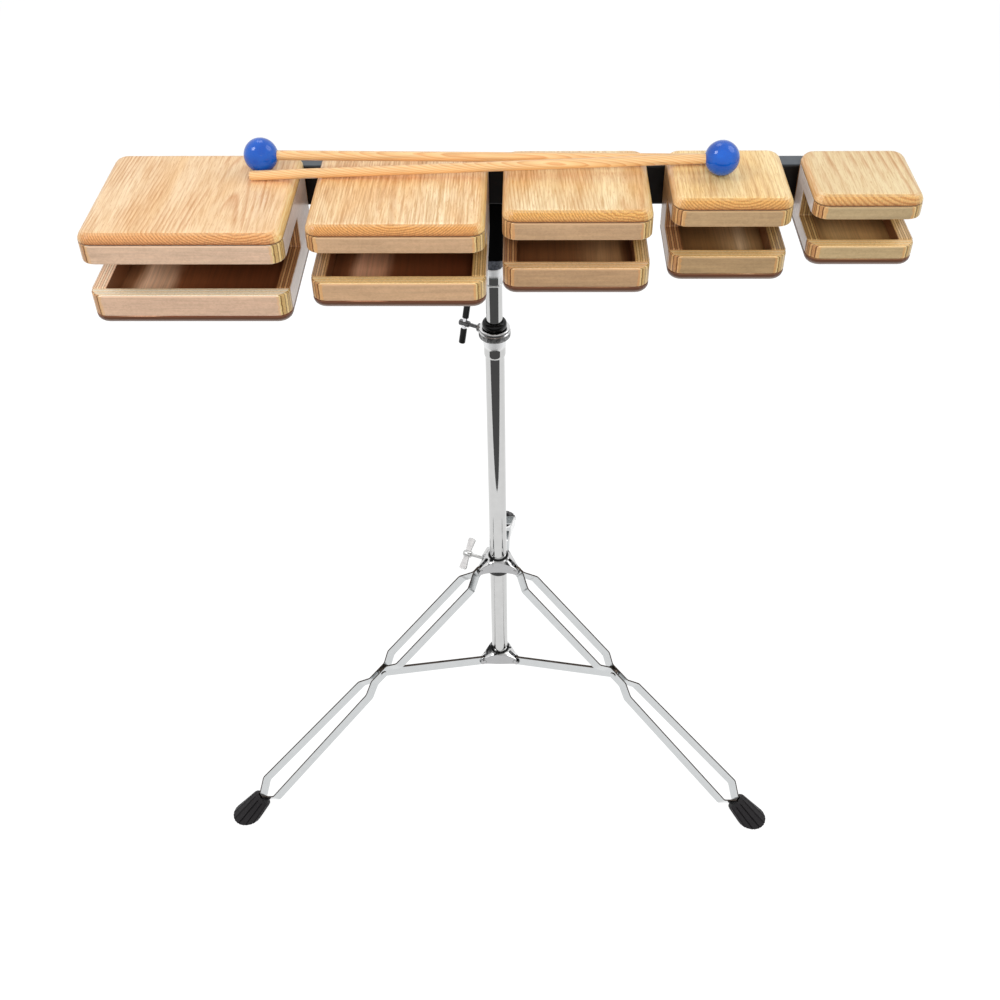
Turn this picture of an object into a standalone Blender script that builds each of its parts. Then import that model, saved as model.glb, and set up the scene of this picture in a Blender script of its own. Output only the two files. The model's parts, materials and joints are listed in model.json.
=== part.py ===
"""Temple blocks: five hollow plywood blocks in a row on a bar, on a folding tripod stand, with two mallets.

Lengths are in metres and +Z is up. The stand is laid out round its own post axis, with the bar along X and
the players' side toward -Y. One empty then moves it all, so that the origin lies on the floor under the
middle of the whole object.
"""

import math
from collections import namedtuple

import bmesh
import bpy
from mathutils import Matrix, Vector

for leftover in list(bpy.data.objects):
    bpy.data.objects.remove(leftover, do_unlink=True)

# Clearances and steps
GAP = 0.0003
CUT_MARGIN = 0.02
ROUND_SIDES = 24
CORNER_STEPS = 5

# Blocks, left to right as the player sees them. The gap is the one to the next block.
Block = namedtuple("Block", "width depth upper mouth lower mouth_depth rise gap")
BLOCKS = (
    Block(0.1624, 0.1415, 0.0172, 0.0286, 0.0195, 0.077, 0.0132, 0.0162),
    Block(0.1425, 0.1328, 0.0148, 0.0274, 0.0166, 0.062, 0.0155, 0.0129),
    Block(0.1208, 0.1133, 0.0158, 0.0259, 0.0174, 0.056, 0.0167, 0.0168),
    Block(0.0972, 0.0944, 0.0148, 0.0273, 0.0162, 0.050, 0.0168, 0.0173),
    Block(0.0880, 0.0871, 0.0118, 0.0243, 0.0119, 0.052, 0.0161, 0.0),
)
ROW_LEFT = -0.3233
PLY = 0.012
CORNER_RADIUS = 0.012
LID_THICKNESS = 0.0086
LID_ROUNDING = 0.0080
BASE_THICKNESS = 0.0074
BASE_ROUNDING = 0.0060
MOUTH_EDGE_RADIUS = 0.0012

# Bar, stem and the sliding upper tube
BAR_TOP = 0.7431
BAR_HEIGHT = 0.0378
BAR_DEPTH = 0.0191
BAR_EDGE_RADIUS = 0.0020
BAR_END_INSET = 0.025
SCREW_HEAD_RADIUS = 0.0042
SCREW_HEAD_HEIGHT = 0.0024
SCREW_SPREAD = 0.022
UPPER_TUBE_RADIUS = 0.0080
UPPER_TUBE_WALL = 0.0007
UPPER_TUBE_TOP = 0.6380
UPPER_TUBE_LENGTH = 0.440
FLARE_RADIUS = 0.0088
FLARE_LENGTH = 0.0078
BEAD_DROP = 0.0180
BEAD_SIZE = 0.0006
STEM_WIDTH = 0.0190
STEM_RING_HEIGHT = 0.0097
STEM_RING_LIP = 0.0002

# Base tube with the height clamp
BASE_TUBE_RADIUS = 0.009525
BASE_TUBE_WALL = 0.0011
BASE_TUBE_OVERHANG = 0.0043
BASE_TUBE_TOP = 0.5660
COLLAR_RADIUS = 0.01195
COLLAR_LOW_RADIUS = 0.01065
COLLAR_LENGTH = 0.0222
COLLAR_CONE = 0.0140
COLLAR_NOSE = 0.0030
CLAMP_RING_RADIUS = 0.0155
CLAMP_RING_HEIGHT = 0.0110
CLAMP_RING_RISE = 0.0050
CLAMP_RING_BEVEL = 0.0028
BUSHING_RADIUS = 0.0119
BUSHING_HEIGHT = 0.0072
BUSHING_ROUNDING = 0.0036
BOLT_RADIUS = 0.0019
BOSS_RADIUS = 0.0042
CLAMP_BOSS_REACH = 0.0185
HEIGHT_BOLT_AZIMUTH = 152.0
HEIGHT_BOLT_RISE = 0.0040
HEIGHT_BOLT_REACH = 0.0335
HEIGHT_BOLT_HUB_LENGTH = 0.0110
HEIGHT_BOLT_HUB_RADIUS = 0.0031
T_BAR_LENGTH = 0.0410
T_BAR_RADIUS = 0.0025
T_BAR_SLEEVE_RADIUS = 0.0032
T_BAR_SLEEVE_START = 0.0052
T_BAR_TILT = 19.0
HUB_BOLT_AZIMUTH = 158.0
HUB_BOLT_RISE = 0.0008
HUB_BOLT_REACH = 0.0385
HUB_BOLT_HUB_LENGTH = 0.0105
HUB_BOLT_HUB_RADIUS = 0.0038
WING_LENGTH = 0.0370
WING_WIDTH = 0.0086
WING_THICKNESS = 0.0030
WING_TILT = 53.0

# Tripod: leg hub, end bracket, legs, stays and feet
LEG_AZIMUTHS = (90.0, 210.0, 330.0)
PIVOT_REACH = 0.0245
HUB_PIVOT_Z = 0.2480
BRACKET_PIVOT_Z = 0.0930
STAND_REACH = 0.3419
LEG_JOINT = 0.1640
STRAP_WIDTH = 0.0118
STRAP_THICKNESS = 0.0015
STRAP_WELD = 0.0001
STRAP_SPREAD = 0.0110
STRAP_SPREAD_LOW = 0.0155
STRAP_KINK = 0.0015
HUB_BEND = 0.0160
JOINT_PINCH_ABOVE = 0.0095
JOINT_BEND_ABOVE = 0.0115
JOINT_PINCH_BELOW = 0.0160
JOINT_BEND_BELOW = 0.0140
BOOT_BEND = 0.0130
BOOT_BEND_CLEARANCE = 0.0020
STAY_WIDTH = 0.0110
STAY_THICKNESS = 0.0032
RIVET_RADIUS = 0.0020
RIVET_HEAD_RADIUS = 0.0034
RIVET_HEAD_HEIGHT = 0.0010
EAR_THICKNESS = 0.0015
EAR_TIP_RADIUS = 0.0040
HUB_WEB_RADIUS = 0.0136
HUB_DROP = 0.0020
HUB_HEIGHT = 0.0156
HUB_BOSS_REACH = 0.0176
PAD_REACH = 0.0169
PAD_WIDTH = 0.0160
HUB_BUSH_RADIUS = 0.0131
HUB_BUSH_HEIGHT = 0.0068
BRACKET_WEB_RADIUS = 0.0130
BRACKET_DROP = 0.0067
BRACKET_HEIGHT = 0.0171
FOOT_RADIUS = 0.0170
FOOT_TOP_RADIUS = 0.0094
FOOT_LENGTH = 0.0290
FOOT_SOCKET_DEPTH = 0.0140
FOOT_PINCH = 0.0030
FOOT_PLUG_START = 0.0010
FOOT_RIBS = 16
FOOT_RIB_DEPTH = 0.0008

# Mallets, by the middle of the ball, and the height of the lids that they lie on
Mallet = namedtuple("Mallet", "name ball_x ball_y tail_y ball_block tail_block")
MALLETS = (
    Mallet("rear", -0.1905, -0.0450, -0.0402, 0, 3),
    Mallet("front", 0.1895, -0.0593, -0.0610, 3, 0),
)
BALL_RADIUS = 0.0143
STICK_RADIUS = 0.0040
STICK_REACH = 0.3885
STICK_SOCKET = 0.0120
MALLET_SEAT = 0.0004
BALL_POLE_ANGLE = 4.0


def make_material(name, color, roughness, metallic=0.0):
    material = bpy.data.materials.new(name)
    material.use_nodes = True
    shader = material.node_tree.nodes["Principled BSDF"]
    shader.inputs["Base Color"].default_value = (*color, 1.0)
    shader.inputs["Roughness"].default_value = roughness
    shader.inputs["Metallic"].default_value = metallic
    return material


MATERIALS = {
    "lid": make_material("lid", (0.86, 0.60, 0.31), 0.28),
    "base": make_material("base", (0.30, 0.13, 0.05), 0.45),
    "side": make_material("side", (0.68, 0.56, 0.46), 0.42),
    "back": make_material("back", (0.62, 0.46, 0.30), 0.45),
    "front_upper": make_material("front_upper", (0.64, 0.45, 0.28), 0.38),
    "front_lower": make_material("front_lower", (0.56, 0.37, 0.22), 0.38),
    "bar": make_material("bar", (0.012, 0.012, 0.014), 0.35),
    "stem": make_material("stem", (0.015, 0.015, 0.017), 0.40),
    "stem_ring": make_material("stem_ring", (0.05, 0.05, 0.055), 0.45),
    "upper_tube": make_material("upper_tube", (0.80, 0.80, 0.82), 0.10, 1.0),
    "bushing": make_material("bushing", (0.012, 0.012, 0.012), 0.30),
    "clamp_collar": make_material("clamp_collar", (0.72, 0.72, 0.74), 0.16, 1.0),
    "height_bolt": make_material("height_bolt", (0.03, 0.03, 0.032), 0.45),
    "base_tube": make_material("base_tube", (0.76, 0.76, 0.78), 0.14, 1.0),
    "leg_hub": make_material("leg_hub", (0.70, 0.70, 0.72), 0.18, 1.0),
    "hub_bush": make_material("hub_bush", (0.015, 0.015, 0.015), 0.40),
    "hub_bolt": make_material("hub_bolt", (0.74, 0.73, 0.72), 0.32, 1.0),
    "bracket": make_material("bracket", (0.70, 0.70, 0.72), 0.18, 1.0),
    "leg": make_material("leg", (0.74, 0.75, 0.76), 0.20, 1.0),
    "stay": make_material("stay", (0.74, 0.75, 0.76), 0.20, 1.0),
    "foot": make_material("foot", (0.02, 0.02, 0.021), 0.60),
    "mallet_stick": make_material("mallet_stick", (0.82, 0.56, 0.28), 0.35),
    "mallet_ball": make_material("mallet_ball", (0.016, 0.10, 0.62), 0.25),
}


# Outlines and solids
def arc(centre_x, centre_y, radius, start, end, steps):
    """Points along a circular arc, with its angles in degrees."""
    angles = [math.radians(start + (end - start) * i / steps) for i in range(steps + 1)]
    return [(centre_x + radius * math.cos(a), centre_y + radius * math.sin(a)) for a in angles]


def rounded_rectangle(width, height, radius, steps=CORNER_STEPS):
    x, y = width / 2 - radius, height / 2 - radius
    corners = ((x, y, 0), (-x, y, 90), (-x, -y, 180), (x, -y, 270))
    return [p for cx, cy, start in corners for p in arc(cx, cy, radius, start, start + 90, steps)]


def distinct(points):
    """The outline without points that repeat the one before them."""
    kept = []
    for point in points:
        if not kept or (Vector(point) - Vector(kept[-1])).length > GAP / 10:
            kept.append(point)
    if (Vector(kept[0]) - Vector(kept[-1])).length <= GAP / 10:
        kept.pop()
    return kept


def loft(rings, closed=False):
    """One solid through rings of points, capped at both ends unless the last ring meets the first."""
    solid = bmesh.new()
    rows = [[solid.verts.new(point) for point in ring] for ring in rings]
    pairs = list(zip(rows, rows[1:]))
    if closed:
        pairs.append((rows[-1], rows[0]))
    for low, high in pairs:
        for i in range(len(low)):
            j = (i + 1) % len(low)
            solid.faces.new((low[i], low[j], high[j], high[i]))
    if not closed:
        solid.faces.new(rows[0][::-1])
        solid.faces.new(rows[-1])
    bmesh.ops.recalc_face_normals(solid, faces=solid.faces)
    return solid


def prism(outline, low, high, axis="Z"):
    """An outline extruded along an axis: XY along Z, YZ along X, or XZ along Y."""
    order = {"Z": lambda a, b, t: (a, b, t), "X": lambda a, b, t: (t, a, b), "Y": lambda a, b, t: (a, t, b)}
    place = order[axis]
    return loft([[place(a, b, t) for a, b in outline] for t in (low, high)])


def turned(profile, closed=False, sides=ROUND_SIDES):
    """A profile of radius and height turned round Z. A closed profile makes a tube."""
    turns = [math.tau * i / sides for i in range(sides)]
    rings = [[(r * math.cos(a), r * math.sin(a), z) for a in turns] for r, z in profile]
    return loft(rings, closed)


def rod(radius, start, end, direction="X", sides=16):
    """A cylinder along an axis, from start to end."""
    turn = {"X": Matrix.Rotation(math.pi / 2, 4, "Y"), "Y": Matrix.Rotation(-math.pi / 2, 4, "X"),
            "Z": Matrix.Identity(4)}[direction]
    solid = turned([(radius, start), (radius, end)], sides=sides)
    solid.transform(turn)
    return solid


def moved(solid, matrix):
    solid.transform(matrix)
    return solid


def hidden_object(solid):
    mesh = bpy.data.meshes.new("shape")
    solid.to_mesh(mesh)
    solid.free()
    item = bpy.data.objects.new("shape", mesh)
    bpy.context.scene.collection.objects.link(item)
    return item


def shaped(body, adds=(), cuts=(), bounds=()):
    """The mesh of one solid that is kept within others, then has some fused to it and some cut from it."""
    target = hidden_object(body)
    tools = []
    for operation, group in (("INTERSECT", bounds), ("UNION", adds), ("DIFFERENCE", cuts)):
        for solid in group:
            tool = hidden_object(solid)
            modifier = target.modifiers.new(operation.title(), "BOOLEAN")
            modifier.operation = operation
            modifier.object = tool
            tools.append(tool)
    bpy.context.view_layer.update()
    depsgraph = bpy.context.evaluated_depsgraph_get()
    mesh = bpy.data.meshes.new_from_object(target.evaluated_get(depsgraph))
    for item in (target, *tools):
        bpy.data.objects.remove(item, do_unlink=True)
    return mesh


def add_piece(name, mesh, material, parent, location=(0, 0, 0), rotation=(0, 0, 0), smooth=35):
    """A named sub-part under its parent, shaded smooth up to an angle in degrees."""
    mesh.name = name
    mesh.materials.clear()
    mesh.materials.append(MATERIALS[material])
    mesh.shade_smooth()
    mesh.set_sharp_from_angle(angle=math.radians(smooth))
    piece = bpy.data.objects.new(name, mesh)
    piece.parent = parent
    piece.location = location
    piece.rotation_euler = rotation
    bpy.context.scene.collection.objects.link(piece)
    return piece


def add_empty(name, parent, location=(0, 0, 0), rotation=(0, 0, 0)):
    empty = bpy.data.objects.new(name, None)
    empty.parent = parent
    empty.location = location
    empty.rotation_euler = rotation
    bpy.context.scene.collection.objects.link(empty)
    return empty


# Blocks: each one is a box of glued panels round a hollow, with a mouth across its front and both sides
def block_height(block):
    return BASE_THICKNESS + block.lower + block.mouth + block.upper + LID_THICKNESS


def block_left(index):
    return ROW_LEFT + sum(b.width + b.gap for b in BLOCKS[:index])


def lid_top(index):
    return BAR_TOP + BLOCKS[index].rise


def slab(block, profile):
    """A board of the block's plan with rounded corners, through steps of inset and height."""
    rings = []
    for inset, z in profile:
        outline = rounded_rectangle(block.width - 2 * inset, block.depth - 2 * inset, CORNER_RADIUS - inset)
        rings.append([(x, y - block.depth / 2, z) for x, y in outline])
    return shaped(loft(rings))


def lid_mesh(block):
    bottom = block_height(block) - LID_THICKNESS
    edge = block_height(block) - LID_ROUNDING
    rounding = arc(LID_ROUNDING, edge, LID_ROUNDING, 180, 90, CORNER_STEPS)
    return slab(block, [(0, bottom), *rounding])


def base_mesh(block):
    rounding = arc(BASE_ROUNDING, BASE_ROUNDING, BASE_ROUNDING, 270, 180, CORNER_STEPS)
    return slab(block, [*rounding, (0, BASE_THICKNESS)])


def end_outline(block, inset):
    """An end panel's outline from its inner face round its outer corners, drawn in at its outer sides."""
    half = block.width / 2 - inset
    corner = min(CORNER_RADIUS, PLY)
    radius = corner - inset
    outline = [(-half, PLY)]
    outline += arc(-half + radius, corner, radius, 180, 270, CORNER_STEPS)
    outline += arc(half - radius, corner, radius, 270, 360, CORNER_STEPS)
    outline += [(half, PLY)]
    return distinct(outline)


def front_mesh(block, low, high, mouth_above):
    """A front panel across the whole width, its edge at the mouth rounded."""
    radius = MOUTH_EDGE_RADIUS
    rounding = arc(radius, high - radius, radius, 180, 90, 2)
    profile = [(0, low), *rounding]
    if not mouth_above:
        profile = [(inset, low + high - z) for inset, z in reversed(profile)]
    rings = [[(x, y - block.depth, z) for x, y in end_outline(block, inset)] for inset, z in profile]
    return shaped(loft(rings))


def back_mesh(block, low, high):
    outline = [(x, -y) for x, y in end_outline(block, 0)]
    return shaped(prism(outline, low, high))


def side_mesh(block):
    """A side panel, centred on its own thickness, with the mouth cut in from its front edge."""
    low, high = BASE_THICKNESS + GAP, block_height(block) - LID_THICKNESS - GAP
    front, back = PLY + GAP - block.depth, -PLY - GAP
    lip_low = BASE_THICKNESS + block.lower
    lip_high = lip_low + block.mouth
    notch = block.mouth_depth - block.depth
    outline = [(front, low), (back, low), (back, high), (front, high),
               (front, lip_high), (notch, lip_high), (notch, lip_low), (front, lip_low)]
    return shaped(prism(outline, -PLY / 2, PLY / 2, "X"))


def add_block(index, bar_carrier):
    block = BLOCKS[index]
    name = f"block_{index + 1}"
    middle = block_left(index) + block.width / 2
    bottom = lid_top(index) - block_height(block)
    holder = add_empty(name + "_place", bar_carrier, (middle, -BAR_DEPTH / 2 - GAP, bottom))
    panel_low, panel_high = BASE_THICKNESS + GAP, block_height(block) - LID_THICKNESS - GAP
    lip_low = BASE_THICKNESS + block.lower
    lip_high = lip_low + block.mouth
    side_x = block.width / 2 - PLY / 2
    add_piece(name + "_lid", lid_mesh(block), "lid", holder)
    add_piece(name + "_base", base_mesh(block), "base", holder)
    add_piece(name + "_back", back_mesh(block, panel_low, panel_high), "back", holder)
    add_piece(name + "_front_upper", front_mesh(block, lip_high, panel_high, False), "front_upper", holder)
    add_piece(name + "_front_lower", front_mesh(block, panel_low, lip_low, True), "front_lower", holder)
    side = side_mesh(block)
    add_piece(name + "_side_left", side, "side", holder, (-side_x, 0, 0))
    add_piece(name + "_side_right", side, "side", holder, (side_x, 0, 0))


# Bar, stem and tubes
def add_bar(bar_carrier):
    left = ROW_LEFT + BAR_END_INSET
    last = len(BLOCKS) - 1
    right = block_left(last) + BLOCKS[last].width - BAR_END_INSET
    middle_z = BAR_TOP - BAR_HEIGHT / 2
    section = [(y, z + middle_z) for y, z in rounded_rectangle(BAR_DEPTH, BAR_HEIGHT, BAR_EDGE_RADIUS, 2)]
    heads = []
    for index, block in enumerate(BLOCKS):
        middle = block_left(index) + block.width / 2
        for x in (middle - SCREW_SPREAD, middle + SCREW_SPREAD):
            head = rod(SCREW_HEAD_RADIUS, BAR_DEPTH / 2 - SCREW_HEAD_HEIGHT / 4,
                       BAR_DEPTH / 2 + SCREW_HEAD_HEIGHT, "Y", 12)
            heads.append(moved(head, Matrix.Translation((x, 0, middle_z))))
    add_piece("bar", shaped(prism(section, left, right, "X"), adds=heads), "bar", bar_carrier)


def stem_radius():
    return UPPER_TUBE_RADIUS - UPPER_TUBE_WALL - GAP


def add_stem(bar_carrier):
    """The upright under the bar, with a spigot that turns in the upper tube and stands on its bead."""
    low, high = UPPER_TUBE_TOP + GAP, UPPER_TUBE_TOP + STEM_RING_HEIGHT
    inner, outer = stem_radius() + GAP, FLARE_RADIUS + STEM_RING_LIP
    profile = [(inner, low), (outer, low), (outer, high), (inner, high)]
    add_piece("stem_ring", shaped(turned(profile, closed=True)), "stem_ring", bar_carrier)

    seat = UPPER_TUBE_TOP - BEAD_DROP + BEAD_SIZE + GAP
    underside = BAR_TOP - BAR_HEIGHT - GAP
    section = rounded_rectangle(STEM_WIDTH, BAR_DEPTH, BAR_EDGE_RADIUS, 2)
    spigot = turned([(stem_radius(), seat), (stem_radius(), (high + underside) / 2)])
    mesh = shaped(prism(section, high + GAP, underside), adds=[spigot])
    add_piece("stem", mesh, "stem", bar_carrier)


def add_upper_tube(post):
    """The sliding tube, flared at its top. A bead in it stops the stem inside and the tube at the bushing."""
    outer, inner = UPPER_TUBE_RADIUS, UPPER_TUBE_RADIUS - UPPER_TUBE_WALL
    low, high = UPPER_TUBE_TOP - UPPER_TUBE_LENGTH, UPPER_TUBE_TOP
    bead, flare = UPPER_TUBE_TOP - BEAD_DROP, UPPER_TUBE_TOP - FLARE_LENGTH
    profile = [(inner, low), (outer, low), (outer, bead - BEAD_SIZE), (outer + BEAD_SIZE, bead),
               (outer, bead + BEAD_SIZE), (outer, flare), (FLARE_RADIUS, high),
               (FLARE_RADIUS - UPPER_TUBE_WALL, high), (inner, flare), (inner, bead + BEAD_SIZE),
               (inner - BEAD_SIZE, bead), (inner, bead - BEAD_SIZE)]
    add_piece("upper_tube", shaped(turned(profile, closed=True)), "upper_tube", post)


def add_base_tube(post):
    outer, inner = BASE_TUBE_RADIUS, BASE_TUBE_RADIUS - BASE_TUBE_WALL
    low = BRACKET_PIVOT_Z - BRACKET_DROP - BASE_TUBE_OVERHANG
    profile = [(inner, low), (outer, low), (outer, BASE_TUBE_TOP), (inner, BASE_TUBE_TOP)]
    add_piece("base_tube", shaped(turned(profile, closed=True)), "base_tube", post)


def radial_matrix(azimuth, z):
    return Matrix.Translation((0, 0, z)) @ Matrix.Rotation(math.radians(azimuth), 4, "Z")


def height_bolt_z():
    return BASE_TUBE_TOP + CLAMP_RING_RISE - CLAMP_RING_HEIGHT + HEIGHT_BOLT_RISE


def hub_bolt_z():
    return HUB_PIVOT_Z + HUB_BOLT_RISE


def add_clamp(post):
    """The collar over the tube's end, its ring and boss, and the black bushing on top."""
    bore = BASE_TUBE_RADIUS + GAP
    ring_top = BASE_TUBE_TOP + CLAMP_RING_RISE
    ring_bottom = ring_top - CLAMP_RING_HEIGHT
    collar_bottom = ring_bottom - COLLAR_LENGTH
    nose = COLLAR_LOW_RADIUS - bore
    profile = [(bore, collar_bottom), (bore + nose / 2, collar_bottom),
               (COLLAR_LOW_RADIUS - nose / 8, collar_bottom + COLLAR_NOSE / 2),
               (COLLAR_LOW_RADIUS, collar_bottom + COLLAR_NOSE),
               (COLLAR_LOW_RADIUS, ring_bottom - COLLAR_CONE), (COLLAR_RADIUS, ring_bottom),
               (CLAMP_RING_RADIUS - CLAMP_RING_BEVEL / 2, ring_bottom),
               (CLAMP_RING_RADIUS, ring_bottom + CLAMP_RING_BEVEL),
               (CLAMP_RING_RADIUS, ring_top - CLAMP_RING_BEVEL),
               (CLAMP_RING_RADIUS - CLAMP_RING_BEVEL, ring_top), (bore, ring_top)]
    place = radial_matrix(HEIGHT_BOLT_AZIMUTH, height_bolt_z())
    boss = moved(rod(BOSS_RADIUS, bore + EAR_THICKNESS, CLAMP_BOSS_REACH), place)
    hole = moved(rod(BOLT_RADIUS + GAP, bore - GAP, CLAMP_BOSS_REACH + CUT_MARGIN), place)
    add_piece("clamp_collar", shaped(turned(profile, closed=True), [boss], [hole]), "clamp_collar", post)

    inner = UPPER_TUBE_RADIUS + GAP
    low, high = ring_top + GAP, ring_top + BUSHING_HEIGHT
    rounding = BUSHING_ROUNDING
    dome = arc(BUSHING_RADIUS - rounding, high - rounding, rounding, 0, 90, CORNER_STEPS)
    profile = [(inner, BASE_TUBE_TOP + GAP), (bore - GAP, BASE_TUBE_TOP + GAP), (bore - GAP, low),
               (BUSHING_RADIUS, low), *dome, (inner, high)]
    add_piece("bushing", shaped(turned(distinct(profile), closed=True)), "bushing", post)


def add_height_bolt(post):
    """The clamping bolt with its cross bar, along local X, outward from the post."""
    tip = BASE_TUBE_RADIUS + GAP
    hub_start = HEIGHT_BOLT_REACH - HEIGHT_BOLT_HUB_LENGTH / 2
    hub = rod(HEIGHT_BOLT_HUB_RADIUS, hub_start, hub_start + HEIGHT_BOLT_HUB_LENGTH)
    place = Matrix.Translation((HEIGHT_BOLT_REACH, 0, 0)) @ Matrix.Rotation(math.radians(T_BAR_TILT), 4, "X")
    half = T_BAR_LENGTH / 2
    nose = T_BAR_SLEEVE_RADIUS / 3
    profile = [(T_BAR_SLEEVE_RADIUS - nose, -half), (T_BAR_SLEEVE_RADIUS, nose - half),
               (T_BAR_SLEEVE_RADIUS, -T_BAR_SLEEVE_START), (T_BAR_RADIUS, -T_BAR_SLEEVE_START)]
    profile += [(r, -z) for r, z in reversed(profile)]
    cross = moved(turned(profile, sides=16), place)
    mesh = shaped(rod(BOLT_RADIUS, tip, HEIGHT_BOLT_REACH), adds=[hub, cross])
    turn = (0, 0, math.radians(HEIGHT_BOLT_AZIMUTH))
    add_piece("height_bolt", mesh, "height_bolt", post, (0, 0, height_bolt_z()), turn)


def add_hub_bolt(hub_carrier):
    """The wing bolt that locks the leg hub, along local X, with its flat wings in line with its axis."""
    tip = BASE_TUBE_RADIUS + GAP
    hub_start = HUB_BOLT_REACH - HUB_BOLT_HUB_LENGTH / 2
    hub = rod(HUB_BOLT_HUB_RADIUS, hub_start, hub_start + HUB_BOLT_HUB_LENGTH)
    outline = rounded_rectangle(WING_WIDTH, WING_LENGTH, WING_WIDTH / 4, 3)
    wings = prism(outline, -WING_THICKNESS / 2, WING_THICKNESS / 2, "X")
    place = Matrix.Translation((HUB_BOLT_REACH, 0, 0)) @ Matrix.Rotation(math.radians(WING_TILT), 4, "X")
    place @= Matrix.Rotation(math.pi / 2, 4, "Z")
    mesh = shaped(rod(BOLT_RADIUS, tip, HUB_BOLT_REACH), adds=[hub, moved(wings, place)])
    turn = (0, 0, math.radians(HUB_BOLT_AZIMUTH))
    add_piece("hub_bolt", mesh, "hub_bolt", hub_carrier, (0, 0, hub_bolt_z()), turn)


# Tripod
def star_outline(web_radius, ear_half, reach):
    """A three-armed star: its webs pass the tube at web_radius and run smoothly into parallel ears."""
    start, start_half = web_radius * math.cos(math.radians(60)), web_radius * math.sin(math.radians(60))
    power = math.tan(math.radians(30)) * (PIVOT_REACH - start) / (start_half - ear_half)
    steps = 2 * CORNER_STEPS
    flank = []
    for i in range(1, steps + 1):
        along = start + (PIVOT_REACH - start) * i / steps
        left = (PIVOT_REACH - along) / (PIVOT_REACH - start)
        flank.append((along, ear_half + (start_half - ear_half) * left ** power))
    flank.append((reach, ear_half))
    points = []
    for azimuth in LEG_AZIMUTHS:
        turn = Matrix.Rotation(math.radians(azimuth), 2)
        for along, half in flank:
            points.append(tuple(turn @ Vector((along, -half))))
        for along, half in reversed(flank):
            points.append(tuple(turn @ Vector((along, half))))
        between = Matrix.Rotation(math.radians(azimuth + 60), 2)
        points.append(tuple(between @ Vector((web_radius, 0))))
    return points


def gusset_solid(web_radius, low, high, pivot_z):
    """The turned space that an ear fills: its edges taper from the web to a round tip about the pivot."""
    rim = web_radius + GAP
    angles = []
    for z, side in ((low, 1), (high, -1)):
        away = Vector((rim - PIVOT_REACH, z - pivot_z))
        swing = side * math.acos(EAR_TIP_RADIUS / away.length)
        angles.append(math.degrees(math.atan2(away.y, away.x) + swing))
    tip = arc(PIVOT_REACH, pivot_z, EAR_TIP_RADIUS, *angles, 2 * CORNER_STEPS)
    return turned([(rim, low), *tip, (rim, high)], sides=2 * ROUND_SIDES)


def add_star(name, parent, web_radius, low, high, slot_half, pivot_z, pad=(), holes=()):
    """A three-eared bracket round the tube, each pair of ears joined by its rivet."""
    ear_half = slot_half + EAR_THICKNESS
    reach = PIVOT_REACH + EAR_TIP_RADIUS + CUT_MARGIN
    body = prism(star_outline(web_radius, ear_half, reach), low - CUT_MARGIN, high + CUT_MARGIN)
    bore = turned([(BASE_TUBE_RADIUS + GAP, low - CUT_MARGIN), (BASE_TUBE_RADIUS + GAP, high + CUT_MARGIN)])
    slots = []
    rivets = []
    for azimuth in LEG_AZIMUTHS:
        turn = Matrix.Rotation(math.radians(azimuth), 4, "Z")
        slot = rounded_rectangle(2 * reach, 2 * slot_half, slot_half / 4, 1)
        slot = [(x + reach + web_radius, y) for x, y in slot]
        slots.append(moved(prism(slot, low - CUT_MARGIN, high + CUT_MARGIN), turn))
        place = turn @ Matrix.Translation((PIVOT_REACH, 0, pivot_z))
        outer = ear_half + RIVET_HEAD_HEIGHT
        for start, end, radius in ((-outer, -ear_half + EAR_THICKNESS / 2, RIVET_HEAD_RADIUS),
                                   (-ear_half, ear_half, RIVET_RADIUS),
                                   (ear_half - EAR_THICKNESS / 2, outer, RIVET_HEAD_RADIUS)):
            rivets.append(moved(rod(radius, start, end, "Y", 12), place))
    carved = shaped(body, pad, [bore, *slots, *holes], [gusset_solid(web_radius, low, high, pivot_z)])
    solid = bmesh.new()
    solid.from_mesh(carved)
    add_piece(name, shaped(solid, rivets), name, parent)


def add_leg_hub(hub_carrier):
    """The sliding star that carries the legs, with a flat pad and a boss for the wing bolt."""
    low = HUB_PIVOT_Z - HUB_DROP
    high = low + HUB_HEIGHT
    section = rounded_rectangle(PAD_REACH, PAD_WIDTH, EAR_THICKNESS, 2)
    pad = prism([(x + PAD_REACH / 2, y) for x, y in section], low + GAP, high - GAP)
    bolt_place = radial_matrix(HUB_BOLT_AZIMUTH, hub_bolt_z())
    boss = moved(rod(BOSS_RADIUS, HUB_BUSH_RADIUS + 2 * GAP, HUB_BOSS_REACH), bolt_place)
    hole = moved(rod(BOLT_RADIUS + GAP, BASE_TUBE_RADIUS, HUB_BOSS_REACH + CUT_MARGIN), bolt_place)
    slot_half = hub_pinch() + STRAP_THICKNESS / 2 + GAP
    adds = [moved(pad, radial_matrix(HUB_BOLT_AZIMUTH, 0)), boss]
    add_star("leg_hub", hub_carrier, HUB_WEB_RADIUS, low, high, slot_half, HUB_PIVOT_Z, adds, [hole])


def add_bracket(post):
    """The fixed star at the tube's lower end, which carries the stays."""
    low = BRACKET_PIVOT_Z - BRACKET_DROP
    add_star("bracket", post, BRACKET_WEB_RADIUS, low, low + BRACKET_HEIGHT, STAY_THICKNESS / 2 + GAP,
             BRACKET_PIVOT_Z)


def leg_slope():
    """The angle of a leg below level, in radians."""
    return math.atan2(HUB_PIVOT_Z, STAND_REACH - PIVOT_REACH)


def leg_length():
    """From the hub pivot along the leg to the floor."""
    return math.hypot(HUB_PIVOT_Z, STAND_REACH - PIVOT_REACH)


def boot_start():
    """How far along the leg the rim of its foot lies."""
    return leg_length() - FOOT_LENGTH


def hub_pinch():
    """Offset of each strap at the hub, where the two are pressed together."""
    return (STRAP_THICKNESS - STRAP_WELD) / 2


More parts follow.
